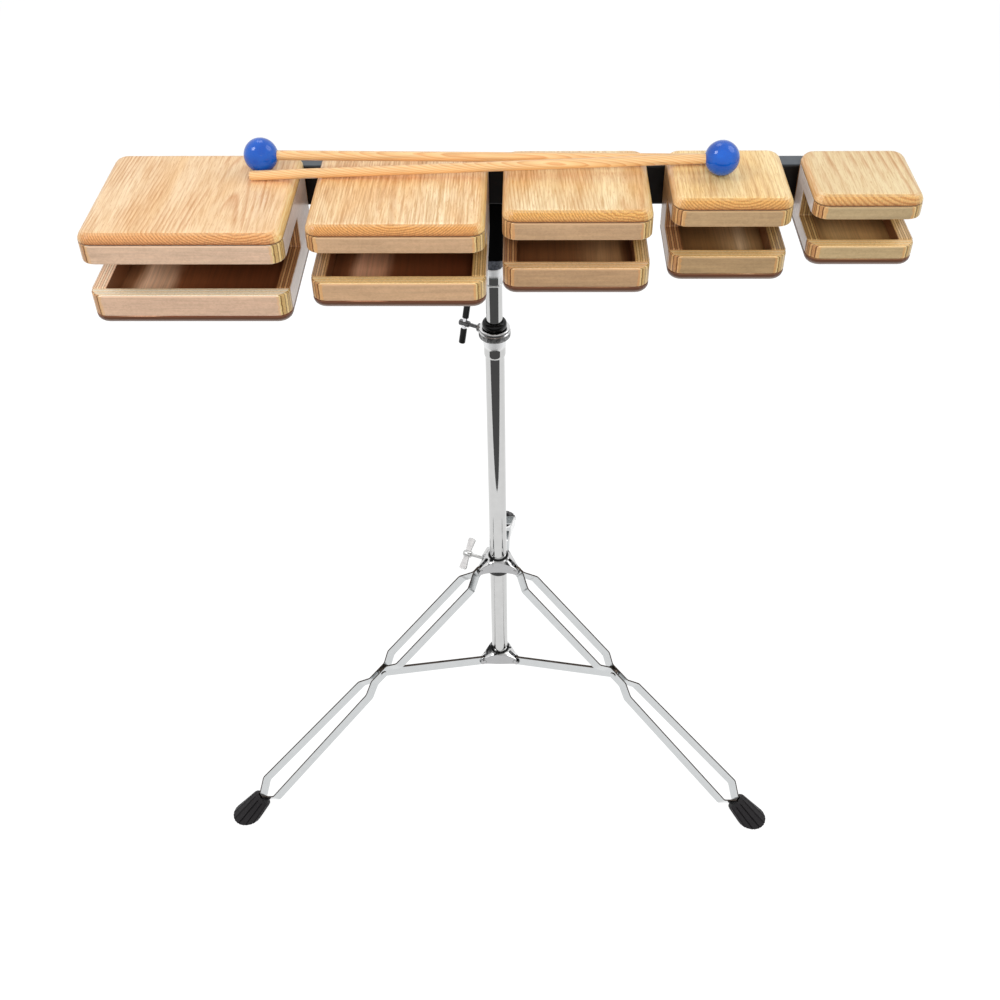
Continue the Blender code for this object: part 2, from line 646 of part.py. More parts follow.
def joint_pinch():
    """Offset of each strap at the stay, which lies between them."""
    return STAY_THICKNESS / 2 + GAP + STRAP_THICKNESS / 2


def strap_kinks():
    """Where a strap bends: distance from the hub pivot, and offset from the leg's middle plane."""
    hub = EAR_TIP_RADIUS + STRAP_KINK + GAP
    above, below = LEG_JOINT - JOINT_PINCH_ABOVE, LEG_JOINT + JOINT_PINCH_BELOW
    boot = boot_start() - BOOT_BEND_CLEARANCE
    return [(0, hub_pinch()), (hub, hub_pinch()), (hub + HUB_BEND, STRAP_SPREAD),
            (above - JOINT_BEND_ABOVE, STRAP_SPREAD), (above, joint_pinch()), (below, joint_pinch()),
            (below + JOINT_BEND_BELOW, STRAP_SPREAD), (boot - BOOT_BEND, STRAP_SPREAD_LOW),
            (boot, FOOT_PINCH), (boot_start() + FOOT_SOCKET_DEPTH - GAP, FOOT_PINCH)]


def strap_path():
    """Distance, offset and slope along a strap, each kink eased over a short stretch."""
    kinks = strap_kinks()
    slopes = [(b[1] - a[1]) / (b[0] - a[0]) for a, b in zip(kinks, kinks[1:])]
    path = [(*kinks[0], slopes[0])]
    for (u, offset), before, after in zip(kinks[1:], slopes, slopes[1:]):
        path.append((u - STRAP_KINK, offset - before * STRAP_KINK, before))
        path.append((u, offset + (after - before) * STRAP_KINK / 4, (before + after) / 2))
        path.append((u + STRAP_KINK, offset + after * STRAP_KINK, after))
    return [*path, (*kinks[-1], slopes[-1])]


def strap(side):
    """One bent strap of a leg, on edge, along local X from the hub pivot, with a round upper end."""
    half = STRAP_WIDTH / 2
    stations = [(x, hub_pinch(), 0, z) for x, z in arc(0, 0, half, 168, 105, CORNER_STEPS - 1)]
    stations += [(*step, half) for step in strap_path()]
    rings = []
    for u, offset, slope, height in stations:
        thick = STRAP_THICKNESS / 2 * math.hypot(1, slope)
        low, high = side * offset - thick, side * offset + thick
        rings.append([(u, low, -height), (u, high, -height), (u, high, height), (u, low, height)])
    return loft(rings)


def leg_mesh():
    plug_start, plug_end = boot_start() - FOOT_PLUG_START, boot_start() + FOOT_SOCKET_DEPTH - 2 * GAP
    section = rounded_rectangle(2 * FOOT_PINCH, STRAP_WIDTH - 2 * STRAP_THICKNESS, STRAP_THICKNESS / 2, 1)
    plug = prism(section, plug_start, plug_end, "X")
    heads = []
    inside = joint_pinch()
    outside = inside + STRAP_THICKNESS / 2 + RIVET_HEAD_HEIGHT
    place = Matrix.Translation((LEG_JOINT, 0, 0))
    for start, end in ((inside, outside), (-outside, -inside)):
        heads.append(moved(rod(RIVET_HEAD_RADIUS, start, end, "Y", 12), place))
    hole = rod(RIVET_RADIUS + GAP, -STRAP_SPREAD, STRAP_SPREAD, "Y")
    return shaped(strap(1), [strap(-1), plug, *heads], [hole])


def joint_place():
    """The stay's outer pivot, in reach and height."""
    return PIVOT_REACH + LEG_JOINT * math.cos(leg_slope()), HUB_PIVOT_Z - LEG_JOINT * math.sin(leg_slope())


def stay_length():
    reach, z = joint_place()
    return math.hypot(reach - PIVOT_REACH, z - BRACKET_PIVOT_Z)


def stay_slope():
    reach, z = joint_place()
    return math.atan2(z - BRACKET_PIVOT_Z, reach - PIVOT_REACH)


def stay_mesh():
    length, half = stay_length(), STAY_WIDTH / 2
    outline = arc(length, 0, half, -90, 90, 2 * CORNER_STEPS)
    outline += arc(0, 0, half, 90, 270, 2 * CORNER_STEPS)
    body = prism(outline, -STAY_THICKNESS / 2, STAY_THICKNESS / 2, "Y")
    holes = []
    for x in (0, length):
        hole = rod(RIVET_RADIUS + GAP, -STAY_THICKNESS, STAY_THICKNESS, "Y")
        holes.append(moved(hole, Matrix.Translation((x, 0, 0))))
    return shaped(body, cuts=holes)


def leg_matrix():
    """From a leg's own axes to reach, sideways and height."""
    return Matrix.Translation((PIVOT_REACH, 0, HUB_PIVOT_Z)) @ Matrix.Rotation(leg_slope(), 4, "Y")


def foot_mesh():
    """A ribbed boot from a flat round sole on the floor up to a rim square to the leg."""
    slope = leg_slope()
    sole = Vector((STAND_REACH, 0, 0))
    along = Vector((-math.cos(slope), 0, math.sin(slope)))
    rim = sole + along * FOOT_LENGTH
    out_low, out_high = Vector((1, 0, 0)), Vector((math.sin(slope), 0, math.cos(slope)))
    sideways = Vector((0, 1, 0))
    points = 2 * FOOT_RIBS
    rings = []
    for t, ribbed in ((0.0, 0), (0.0, 1), (0.9, 1), (1.0, 0)):
        ring = []
        for i in range(points):
            turn = math.tau * i / points
            groove = FOOT_RIB_DEPTH * (i % 2 if ribbed else 1)
            low = sole + (out_low * math.cos(turn) + sideways * math.sin(turn)) * (FOOT_RADIUS - groove)
            high = rim + (out_high * math.cos(turn) + sideways * math.sin(turn)) * (FOOT_TOP_RADIUS - groove)
            ring.append(low.lerp(high, t))
        rings.append(ring)
    lift = FOOT_RIB_DEPTH
    rings[1] = [point + Vector((0, 0, lift)) for point in rings[1]]
    body = loft(rings)
    width, height = STRAP_WIDTH + 2 * GAP, 2 * FOOT_PINCH + STRAP_THICKNESS + 2 * GAP
    section = rounded_rectangle(height, width, GAP, 1)
    socket = prism(section, boot_start() - CUT_MARGIN, boot_start() + FOOT_SOCKET_DEPTH, "X")
    mesh = shaped(body, cuts=[moved(socket, leg_matrix())])
    mesh.transform(leg_matrix().inverted())
    return mesh


def add_tripod(post):
    hub_carrier = add_empty("leg_hub_place", post)
    add_leg_hub(hub_carrier)
    add_bracket(post)
    inner, outer = BASE_TUBE_RADIUS + GAP, HUB_BUSH_RADIUS
    high = HUB_PIVOT_Z - HUB_DROP - GAP
    low = high - HUB_BUSH_HEIGHT
    edge = HUB_BUSH_HEIGHT / 4
    profile = [(inner, low), (outer - edge, low), (outer, low + edge), (outer, high), (inner, high)]
    add_piece("hub_bush", shaped(turned(profile, closed=True)), "hub_bush", hub_carrier)
    add_hub_bolt(hub_carrier)

    leg_shape, stay_shape, foot_shape = leg_mesh(), stay_mesh(), foot_mesh()
    for number, azimuth in enumerate(LEG_AZIMUTHS, start=1):
        turn = math.radians(azimuth)
        x, y = PIVOT_REACH * math.cos(turn), PIVOT_REACH * math.sin(turn)
        leg = add_piece(f"leg_{number}", leg_shape, "leg", hub_carrier, (x, y, HUB_PIVOT_Z),
                        (0, leg_slope(), turn))
        add_piece(f"foot_{number}", foot_shape, "foot", leg, smooth=20)
        add_piece(f"stay_{number}", stay_shape, "stay", post, (x, y, BRACKET_PIVOT_Z),
                  (0, -stay_slope(), turn))


# Mallets
def add_mallet(mallet, bar_carrier):
    """A ball on a stick, along local X from the middle of the ball."""
    ball_z = lid_top(mallet.ball_block) + BALL_RADIUS + MALLET_SEAT
    tail_z = lid_top(mallet.tail_block) + STICK_RADIUS + MALLET_SEAT
    toward = 1 if mallet.ball_x < 0 else -1
    drop, sway = ball_z - tail_z, mallet.tail_y - mallet.ball_y
    run = toward * math.sqrt(STICK_REACH ** 2 - drop ** 2 - sway ** 2)
    heading, fall = math.atan2(sway, run), math.asin(drop / STICK_REACH)
    holder = add_empty(f"mallet_{mallet.name}_place", bar_carrier, (mallet.ball_x, mallet.ball_y, ball_z),
                       (0, fall, heading))
    floor_x = BALL_RADIUS - STICK_SOCKET
    socket = STICK_RADIUS + GAP
    mouth = math.degrees(math.asin(socket / BALL_RADIUS))
    steps = ROUND_SIDES // 2
    sphere = arc(0, 0, BALL_RADIUS, 180 - BALL_POLE_ANGLE, mouth, steps)
    profile = [(y, x) for x, y in sphere] + [(socket, floor_x)]
    ball = moved(turned(profile), Matrix.Rotation(math.pi / 2, 4, "Y"))
    add_piece(f"mallet_{mallet.name}_ball", shaped(ball), "mallet_ball", holder, smooth=40)
    tip = STICK_RADIUS / 4
    profile = [(STICK_RADIUS, floor_x + GAP), (STICK_RADIUS, STICK_REACH - tip),
               (STICK_RADIUS - tip, STICK_REACH)]
    stick = moved(turned(profile, sides=16), Matrix.Rotation(math.pi / 2, 4, "Y"))
    add_piece(f"mallet_{mallet.name}_stick", shaped(stick), "mallet_stick", holder)


def build():
    last = len(BLOCKS) - 1
    row_right = block_left(last) + BLOCKS[last].width
    middle_x = (ROW_LEFT + row_right) / 2
    back_y, front_y = STAND_REACH + FOOT_RADIUS, -STAND_REACH / 2 - FOOT_RADIUS
    post = add_empty("post_axis", None, (-middle_x, -(back_y + front_y) / 2, 0))
    bar_carrier = add_empty("bar_place", post)
    for index in range(len(BLOCKS)):
        add_block(index, bar_carrier)
    add_bar(bar_carrier)
    add_stem(bar_carrier)
    add_upper_tube(post)
    add_base_tube(post)
    add_clamp(post)
    add_height_bolt(post)
    add_tripod(post)
    for mallet in MALLETS:
        add_mallet(mallet, bar_carrier)


build()
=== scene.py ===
"""The look of the temple blocks: materials, finer turned pieces, light and the photograph's camera.

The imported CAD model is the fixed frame. Everything is in metres, in the model's own coordinates.
"""

import json
import math

import bmesh
import bpy
from mathutils import Matrix, Vector


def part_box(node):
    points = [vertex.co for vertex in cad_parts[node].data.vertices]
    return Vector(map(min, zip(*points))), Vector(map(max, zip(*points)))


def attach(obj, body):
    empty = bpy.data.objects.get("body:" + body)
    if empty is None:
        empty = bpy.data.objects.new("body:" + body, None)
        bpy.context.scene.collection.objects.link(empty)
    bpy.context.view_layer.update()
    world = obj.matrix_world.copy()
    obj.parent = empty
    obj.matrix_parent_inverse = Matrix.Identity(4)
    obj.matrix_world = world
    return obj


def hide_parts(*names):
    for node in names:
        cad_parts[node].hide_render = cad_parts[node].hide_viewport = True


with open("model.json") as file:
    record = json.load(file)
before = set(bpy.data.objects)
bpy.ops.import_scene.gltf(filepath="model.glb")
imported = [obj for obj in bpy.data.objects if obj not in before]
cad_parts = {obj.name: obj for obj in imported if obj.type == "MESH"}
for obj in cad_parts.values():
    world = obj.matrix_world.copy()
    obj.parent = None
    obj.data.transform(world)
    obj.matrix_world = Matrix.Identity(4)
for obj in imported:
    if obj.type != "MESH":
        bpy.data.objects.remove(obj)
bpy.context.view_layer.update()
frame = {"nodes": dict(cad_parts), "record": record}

# Camera, solved from the photograph
CAMERA_PLACE = (0.01493, -1.07294, 1.23664)
CAMERA_YAW = 1.498
CAMERA_PITCH = 42.071
CAMERA_ROLL = -0.842
CAMERA_LENS = 44.0
SENSOR = 36.0

# Light. A plain white diffuse face turned up gets about 1.
WORLD_LIGHT = 0.38
FLOOR_BOUNCE = 0.80
LAMPS = (
    # name, place, width, power, seen in gloss
    ("lamp_left", (-1.50, -0.59, 2.42), 0.80, 12.0, True),
    ("lamp_right", (1.68, 0.28, 2.27), 1.50, 10.0, True),
    ("lamp_back", (-0.30, 0.95, 2.30), 0.80, 3.0, True),
    ("lamp_front", (0.10, -1.75, 1.75), 0.70, 20.0, False),
)
LAMP_TARGET = (0, -0.1, 0.6)
FLOOR = ((-6, -6), (6, 6))
FLOOR_SHADE = 0.95
FLOOR_GLOW = 1.22
FLOOR_LIT_SHARE = 0.28
CARD = ((-3.0, -2.6), (3.0, -0.505))
CARD_HEIGHT = 0.002
CARD_SHADE = 0.105

# As the CAD frame has them: the post axis, the ply, and the legs that carry the feet
AXIS = (-0.01375, -0.085475)
PLY = 0.012
LEG_AZIMUTHS = (90.0, 210.0, 330.0)
STAND_REACH = 0.3419
PIVOT_REACH = 0.0245
PIVOT_HEIGHT = 0.2480


def linear(value):
    value = value / 255
    return value / 12.92 if value <= 0.04045 else ((value + 0.055) / 1.055) ** 2.4


def rgb(red, green, blue):
    return (linear(red), linear(green), linear(blue), 1.0)


def gray(value):
    return (value, value, value, 1.0)


def tinted(color, tint):
    return tuple(a * b for a, b in zip(color[:3], tint)) + (1.0,)


def scaled(color, factor):
    return tinted(color, (factor, factor, factor))


def corners(node):
    """The low and the high corner of a CAD node's box."""
    low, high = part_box(node)
    return Vector(low), Vector(high)


# Shader building
class Shader:
    """A material built from a few named procedural steps in object coordinates."""

    def __init__(self, name, roughness, metallic=0.0, coat=0.0, coat_roughness=0.08, specular=0.5):
        self.material = bpy.data.materials.new(name)
        self.material.use_nodes = True
        self.tree = self.material.node_tree
        self.shader = self.tree.nodes["Principled BSDF"]
        for socket, value in (("Roughness", roughness), ("Metallic", metallic), ("Coat Weight", coat),
                              ("Coat Roughness", coat_roughness), ("Specular IOR Level", specular)):
            self.shader.inputs[socket].default_value = value
        self.place = self.tree.nodes.new("ShaderNodeTexCoord")

    def put(self, socket, value):
        if isinstance(value, bpy.types.NodeSocket):
            self.tree.links.new(value, socket)
        else:
            socket.default_value = value

    def math(self, operation, first, second=0.0):
        node = self.tree.nodes.new("ShaderNodeMath")
        node.operation = operation
        self.put(node.inputs[0], first)
        self.put(node.inputs[1], second)
        return node.outputs[0]

    def step(self, value, low, high, to_low=0.0, to_high=1.0):
        """The value carried smoothly from one span to another, and held at its ends."""
        node = self.tree.nodes.new("ShaderNodeMapRange")
        node.interpolation_type = "SMOOTHSTEP"
        for socket, entry in zip(node.inputs[:5], (value, low, high, to_low, to_high)):
            self.put(socket, entry)
        return node.outputs[0]

    def mix(self, factor, first, second, blend="MIX"):
        node = self.tree.nodes.new("ShaderNodeMix")
        node.data_type = "RGBA"
        node.blend_type = blend
        self.put(node.inputs[0], factor)
        self.put(node.inputs[6], first)
        self.put(node.inputs[7], second)
        return node.outputs[2]

    def mapped(self, stretch, start=(0, 0, 0), turn=(0, 0, 0)):
        """Object coordinates from a start point, turned, then stretched."""
        mapping = self.tree.nodes.new("ShaderNodeMapping")
        mapping.vector_type = "TEXTURE"
        mapping.inputs["Location"].default_value = start
        mapping.inputs["Rotation"].default_value = [math.radians(angle) for angle in turn]
        mapping.inputs["Scale"].default_value = [1 / factor for factor in stretch]
        self.put(mapping.inputs["Vector"], self.place.outputs["Object"])
        return mapping.outputs[0]

    def noise(self, stretch, detail=3.0, distortion=0.0, roughness=0.5):
        node = self.tree.nodes.new("ShaderNodeTexNoise")
        node.inputs["Scale"].default_value = 1.0
        node.inputs["Detail"].default_value = detail
        node.inputs["Distortion"].default_value = distortion
        node.inputs["Roughness"].default_value = roughness
        self.put(node.inputs["Vector"], self.mapped(stretch))
        return node.outputs["Fac"]

    def distance(self, first, second):
        """The length of an offset with two parts."""
        squares = [self.math("POWER", self.math("ABSOLUTE", part), 2.0) for part in (first, second)]
        return self.math("SQRT", self.math("ADD", *squares))

    def rings(self, pith, turn, spacing, along, wobble, scales=((17, 1.0), (90, 0.14))):
        """Growth rings round a line through pith that runs along Y, as a saw from 0 to 1 in each ring."""
        split = self.tree.nodes.new("ShaderNodeSeparateXYZ")
        self.put(split.inputs[0], self.mapped((1, 1, 1), pith, turn))
        radius = self.distance(split.outputs["X"], split.outputs["Z"])
        for scale, share in scales:
            sway = self.math("SUBTRACT", self.noise((scale, scale / along, scale), 2.0), 0.5)
            radius = self.math("ADD", radius, self.math("MULTIPLY", sway, wobble * share))
        return self.math("FRACT", self.math("DIVIDE", radius, spacing))

    def ramp(self, value, stops, interpolation="LINEAR"):
        node = self.tree.nodes.new("ShaderNodeValToRGB")
        node.color_ramp.interpolation = interpolation
        elements = node.color_ramp.elements
        while len(elements) < len(stops):
            elements.new(0.5)
        for element, (position, color) in zip(elements, stops):
            element.position = position
            element.color = color
        self.put(node.inputs["Fac"], value)
        return node.outputs["Color"]

    def along(self, axis, source="Object"):
        """One coordinate of the place, or of the normal."""
        node = self.tree.nodes.new("ShaderNodeSeparateXYZ")
        self.put(node.inputs[0], self.place.outputs[source])
        return node.outputs[axis]

    def facing(self, axis, low, high):
        """How far the surface faces along an axis, either way."""
        return self.step(self.math("ABSOLUTE", self.along(axis, "Normal")), low, high)

    def color(self, value):
        self.put(self.shader.inputs["Base Color"], value)

    def rough(self, value, low, high):
        self.put(self.shader.inputs["Roughness"], self.step(value, 0.3, 0.7, low, high))

    def height(self, low, high):
        """Height in a box, from 0 at its bottom to 1 at its top."""
        return self.math("DIVIDE", self.math("SUBTRACT", self.along("Z"), low.z), high.z - low.z)

    def bump(self, value, strength, distance):
        node = self.tree.nodes.new("ShaderNodeBump")
        node.inputs["Strength"].default_value = strength
        node.inputs["Distance"].default_value = distance
        self.put(node.inputs["Height"], value)
        self.put(self.shader.inputs["Normal"], node.outputs["Normal"])


# Wood. Lids from the largest block to the smallest: tones, then places from the lid's top middle, sizes and
# shares of the rings on top and on the end grain.
LIDS = (
    dict(pale=rgb(252, 222, 180), warm=rgb(245, 204, 150), late=rgb(206, 138, 72), end=rgb(232, 174, 116),
         end_late=rgb(176, 100, 42), pith=(0.034, 0.034), turn=(3.0, 0.0, -2.5), spacing=0.0030, wobble=0.011,
         lines=0.72, streak=0.40, end_pith=(0.052, 0.085), end_spacing=0.0018, end_wobble=0.004),
    dict(pale=rgb(252, 229, 187), warm=rgb(242, 200, 142), late=rgb(200, 134, 68), end=rgb(232, 173, 104),
         end_late=rgb(170, 98, 42), pith=(-0.006, 0.030), turn=(0.8, 0.0, -1.0), spacing=0.0020, wobble=0.006,
         lines=0.55, streak=1.00, end_pith=(0.002, 0.062), end_spacing=0.0015, end_wobble=0.002),
    dict(pale=rgb(249, 229, 184), warm=rgb(233, 193, 134), late=rgb(206, 140, 70), end=rgb(230, 179, 105),
         end_late=rgb(180, 112, 52), pith=(0.040, 0.022), turn=(-2.2, 0.0, 3.0), spacing=0.0026, wobble=0.014,
         lines=0.55, streak=0.70, end_pith=(0.045, 0.055), end_spacing=0.0019, end_wobble=0.012),
    dict(pale=rgb(255, 231, 175), warm=rgb(249, 214, 148), late=rgb(204, 144, 78), end=rgb(228, 176, 104),
         end_late=rgb(178, 112, 52), pith=(0.008, 0.040), turn=(1.5, 0.0, -1.5), spacing=0.0026, wobble=0.006,
         lines=0.42, streak=0.80, end_pith=(0.006, 0.048), end_spacing=0.0020, end_wobble=0.003),
    dict(pale=rgb(244, 223, 176), warm=rgb(237, 210, 160), late=rgb(202, 144, 80), end=rgb(230, 183, 118),
         end_late=rgb(182, 116, 58), pith=(-0.062, 0.050), turn=(1.2, 0.0, 3.5), spacing=0.0066, wobble=0.005,
         lines=0.80, streak=0.20, end_pith=(0.040, 0.060), end_spacing=0.0032, end_wobble=0.002),
)
# The plain long sides, as (left, right), each from dark fibre to pale
LID_SIDES = ((rgb(232, 176, 112), rgb(250, 210, 156)), (rgb(236, 190, 114), rgb(250, 222, 158)))
# Painted shadow: the dark line along the lid's bottom, where the gap under it is in shade
LID_GAP_SHADOW = rgb(84, 42, 18)


def lid_face(shader, look, pith, fibre):
    """Long grain: patches of tone, late-wood lines, fibres, soft streaks and short dark rays."""
    ring = shader.rings(pith, look["turn"], look["spacing"], 8.0, look["wobble"])
    patches = shader.noise((30, 8, 30), 3.0, 0.5)
    wood = shader.ramp(patches, [(0.36, look["pale"]), (0.66, look["warm"])])
    late = shader.ramp(ring, [(0.0, gray(0.55)), (0.10, gray(0.0)), (0.50, gray(0.12)), (0.90, gray(1.0)),
                              (1.0, gray(0.55))])
    fade = shader.step(shader.noise((60, 14, 60), 3.0), 0.38, 0.62, 0.15, 1.0)
    lines = shader.math("MULTIPLY", shader.math("MULTIPLY", late, fade), look["lines"])
    wood = shader.mix(lines, wood, look["late"])
    grain = shader.ramp(fibre, [(0.36, (0.82, 0.67, 0.50, 1.0)), (0.56, gray(1.06))])
    wood = shader.mix(0.55 + 0.35 * look["streak"], wood, grain, "MULTIPLY")
    streak = shader.noise((330, 11, 330), 3.0, 0.4)
    streak = shader.ramp(streak, [(0.36, (0.86, 0.76, 0.64, 1.0)), (0.58, gray(1.05))])
    wood = shader.mix(look["streak"], wood, streak, "MULTIPLY")
    rays = shader.noise((1000, 130, 1000), 2.0)
    return shader.mix(shader.step(rays, 0.60, 0.70, 0.0, 0.40), wood, look["late"])


def lid_end(shader, look, pith, low, high):
    """End grain: rings round a pith above the lid, with pores, and painted shade that darkens it toward its
    bottom.
    """
    scales = ((30, 1.0), (140, 0.3))
    ring = shader.rings(pith, (0, 0, 0), look["end_spacing"], 1.0, look["end_wobble"], scales)
    late = shader.ramp(ring, [(0.0, gray(0.7)), (0.25, gray(0.0)), (0.55, gray(0.3)), (0.85, gray(1.0)),
                              (1.0, gray(0.7))])
    wood = shader.mix(shader.math("MULTIPLY", late, 0.80), look["end"], look["end_late"])
    pores = shader.noise((1100, 1100, 300), 2.0)
    wood = shader.mix(0.8, wood, shader.ramp(pores, [(0.35, gray(0.74)), (0.6, gray(1.10))]), "MULTIPLY")
    # Painted shade: darker toward the end grain's bottom, slightly lighter at its top
    shade = shader.ramp(shader.height(low, high), [(0.08, (0.66, 0.52, 0.42, 1.0)),
                                                   (0.38, (0.90, 0.86, 0.82, 1.0)),
                                                   (0.75, (1.04, 1.03, 0.94, 1.0))])
    return shader.mix(1.0, wood, shade, "MULTIPLY")


def lid_wood(number, look):
    """Beech, with long grain on top, end grain front and back, plain sides and a painted shadow line along
    its bottom.
    """
    low, high = corners(f"block_{number}_lid")
    middle = (low + high) / 2
    shader = Shader(f"lid_{number}", 0.36, coat=0.14, coat_roughness=0.2)
    piths = [(middle.x + look[key][0], middle.y, high.z + look[key][1]) for key in ("pith", "end_pith")]
    fibre = shader.noise((900, 44, 900), 3.0, 0.3, 0.62)
    wood = lid_face(shader, look, piths[0], fibre)
    end = lid_end(shader, look, piths[1], low, high)
    wood = shader.mix(shader.facing("Y", 0.15, 0.60), wood, end)
    sides = [shader.mix(shader.step(fibre, 0.35, 0.65), *tones) for tones in LID_SIDES]
    side = shader.mix(shader.step(shader.along("X", "Normal"), -0.2, 0.2), *sides)
    wood = shader.mix(shader.facing("X", 0.25, 0.90), wood, side)
    # Painted shadow along the lid's bottom edge, darkest at the very bottom
    gap_shadow = shader.step(shader.along("Z"), low.z + 0.0004, low.z + 0.0017, 0.88, 0.0)
    shader.color(shader.mix(gap_shadow, wood, LID_GAP_SHADOW))
    shader.rough(fibre, 0.42, 0.32)
    shader.bump(fibre, 0.06, 0.0003)
    return shader.material


# Ply: glue lines by depth in a panel, and rails as light layer, dark layer and glue line
LAYER_EDGES = (0.10, 0.27, 0.44, 0.61, 0.78, 0.95)
# Partly the ply's own tones and partly painted light and shade: the pale palettes stand for lit rails, the
# dark ones for rails in shade
RAIL_PALETTES_LIT_AND_SHADED = {
    "pink": (rgb(255, 226, 190), rgb(250, 206, 166), rgb(190, 134, 90)),
    "yellow": (rgb(232, 198, 138), rgb(210, 170, 108), rgb(146, 102, 54)),
    "tan": (rgb(222, 180, 128), rgb(190, 144, 94), rgb(116, 74, 42)),
    "dark": (rgb(206, 156, 106), rgb(160, 110, 68), rgb(88, 50, 28)),
    "olive": (rgb(206, 170, 112), rgb(166, 128, 78), rgb(94, 64, 34)),
}
# The fronts' top edges by block, as pale as a colour goes: partly the ply's own pale tone, partly painted
# light for more light than reaches them under the lids
FRONT_RAILS_TONE_AND_LIGHT = (rgb(255, 247, 225), rgb(255, 228, 171), rgb(246, 214, 167), rgb(242, 213, 157),
               rgb(253, 226, 169))
# The layers on the rounded ends of the fronts, left and right
CORNER_LAYERS = ((rgb(224, 176, 118), rgb(198, 144, 92), rgb(122, 76, 42)),
                 (rgb(230, 200, 138), rgb(204, 168, 106), rgb(138, 100, 56)))
# The side panels by block, as (left, right): the rail palette each side shows, pale where the side is lit and
# dark where it is in shade, so partly painted light and shade
SIDE_RAIL_LIGHTING = (("pink", "dark"), ("tan", "yellow"), ("dark", "yellow"), ("dark", "olive"), ("olive", "yellow"))
# Their outer face tones, partly the veneer's own and partly painted light and shade: darker on the left faces
# of blocks 3 and 4, in shade, and near white on block 5's left, in bright light
SIDE_FACES_LIT_AND_SHADED = (
    (rgb(232, 216, 204), rgb(236, 222, 212)), (rgb(214, 182, 148), rgb(232, 214, 198)),
    (rgb(192, 150, 104), rgb(230, 212, 196)), (rgb(180, 142, 96), rgb(224, 202, 178)),
    (rgb(244, 238, 236), rgb(226, 208, 190)),
)
INSIDE = rgb(158, 104, 68)
BACK_FACE = rgb(208, 170, 130)
# Noise scales along X, Y and Z: grain and slow drift of panels that face Y, and of panels that face X
FRONT_GRAIN = ((24, 160, 520), (16, 30, 90))
SIDE_GRAIN = ((160, 24, 520), (30, 16, 90))


def layered(shader, axis, start, sign, face, layers, rounded=()):
    """Ply: the face veneer, layers with glue lines by depth below the face, then the inner face.

    The rounded ends of a front show other layers, given as (left, right).
    """
    depth = shader.math("MULTIPLY", shader.math("SUBTRACT", shader.along(axis), start), sign / PLY)
    stretch = {"X": (60, 260, 260), "Y": (260, 60, 260)}[axis]
    wave = shader.step(shader.noise(stretch, 2.0), 0.2, 0.8, -0.010, 0.010)
    depth = shader.math("ADD", depth, wave)
    cores = []
    for light, dark, line in (layers, *rounded):
        stops = [(0.0, light)]
        for number, edge in enumerate(LAYER_EDGES):
            stops.append((edge, line))
            stops.append((edge + 0.040, (dark, light)[number % 2]))
        cores.append(shader.ramp(depth, stops, "CONSTANT"))
    core = cores[0]
    if rounded:
        ends = shader.mix(shader.step(shader.along("X", "Normal"), -0.02, 0.02), *cores[1:])
        core = shader.mix(shader.facing("X", 0.03, 0.30), core, ends)
    streaks = shader.noise((700, 700, 700), 2.0)
    core = shader.mix(0.7, core, shader.ramp(streaks, [(0.34, gray(0.84)), (0.62, gray(1.10))]), "MULTIPLY")
    core = shader.mix(shader.step(depth, 0.975, 0.985), core, INSIDE)
    face = shader.mix(shader.step(depth, 0.020, 0.034, 0.0, 0.6), face, layers[2])
    return shader.mix(shader.step(depth, 0.046, 0.062), face, core)


def veneer(shader, tone, scales):
    """Fine grain and curls over a slow change of tone, with the grain in the surface too."""
    fine, slow = scales
    drift = shader.noise(slow, 3.0, 0.6)
    grain = shader.noise(fine, 4.0, 0.5, 0.6)
    color = shader.ramp(drift, [(0.36, scaled(tone, 1.05)), (0.66, scaled(tone, 0.94))])
    color = shader.mix(0.6, color, shader.ramp(grain, [(0.34, gray(0.86)), (0.62, gray(1.10))]), "MULTIPLY")
    curls = shader.noise((300, 300, 420), 2.0, 1.2)
    curls = shader.ramp(curls, [(0.36, (0.90, 0.87, 0.84, 1.0)), (0.60, gray(1.06))])
    shader.bump(shader.noise(fine, 4.0), 0.05, 0.0003)
    return shader.mix(0.6, color, curls, "MULTIPLY")


def front_wood(number, part, tone):
    """A front panel, with a painted highlight along its top edge."""
    low, high = corners(f"block_{number}_{part}")
    shader = Shader(f"{part}_{number}", 0.38, coat=0.22, coat_roughness=0.15)
    face = veneer(shader, tone, FRONT_GRAIN)
    # Painted highlight: a paler line along the panel's top edge
    top_highlight = shader.step(shader.along("Z"), high.z - 0.0019, high.z - 0.0010, 0.0, 0.7)
    face = shader.mix(top_highlight, face, scaled(tone, 1.30))
    rail = FRONT_RAILS_TONE_AND_LIGHT[number - 1]
    layers = (rail, tinted(rail, (1.0, 0.86, 0.70)), tinted(rail, (0.78, 0.50, 0.30)))
    shader.color(layered(shader, "Y", low.y, 1.0, face, layers, CORNER_LAYERS))
    return shader.material


def side_wood(number, side):
    low, high = corners(f"block_{number}_side_{side}")
    pick, start, sign = {"left": (0, low.x, 1.0), "right": (1, high.x, -1.0)}[side]
    shader = Shader(f"side_{side}_{number}", 0.38, coat=0.22, coat_roughness=0.15)
    face = veneer(shader, SIDE_FACES_LIT_AND_SHADED[number - 1][pick], SIDE_GRAIN)
    shader.color(layered(shader, "X", start, sign, face, RAIL_PALETTES_LIT_AND_SHADED[SIDE_RAIL_LIGHTING[number - 1][pick]]))
    return shader.material


def back_wood(number):
    high = corners(f"block_{number}_back")[1]
    shader = Shader(f"back_{number}", 0.42, coat=0.12)
    face = veneer(shader, BACK_FACE, FRONT_GRAIN)
    shader.color(layered(shader, "Y", high.y, -1.0, face, RAIL_PALETTES_LIT_AND_SHADED["tan"]))
    return shader.material
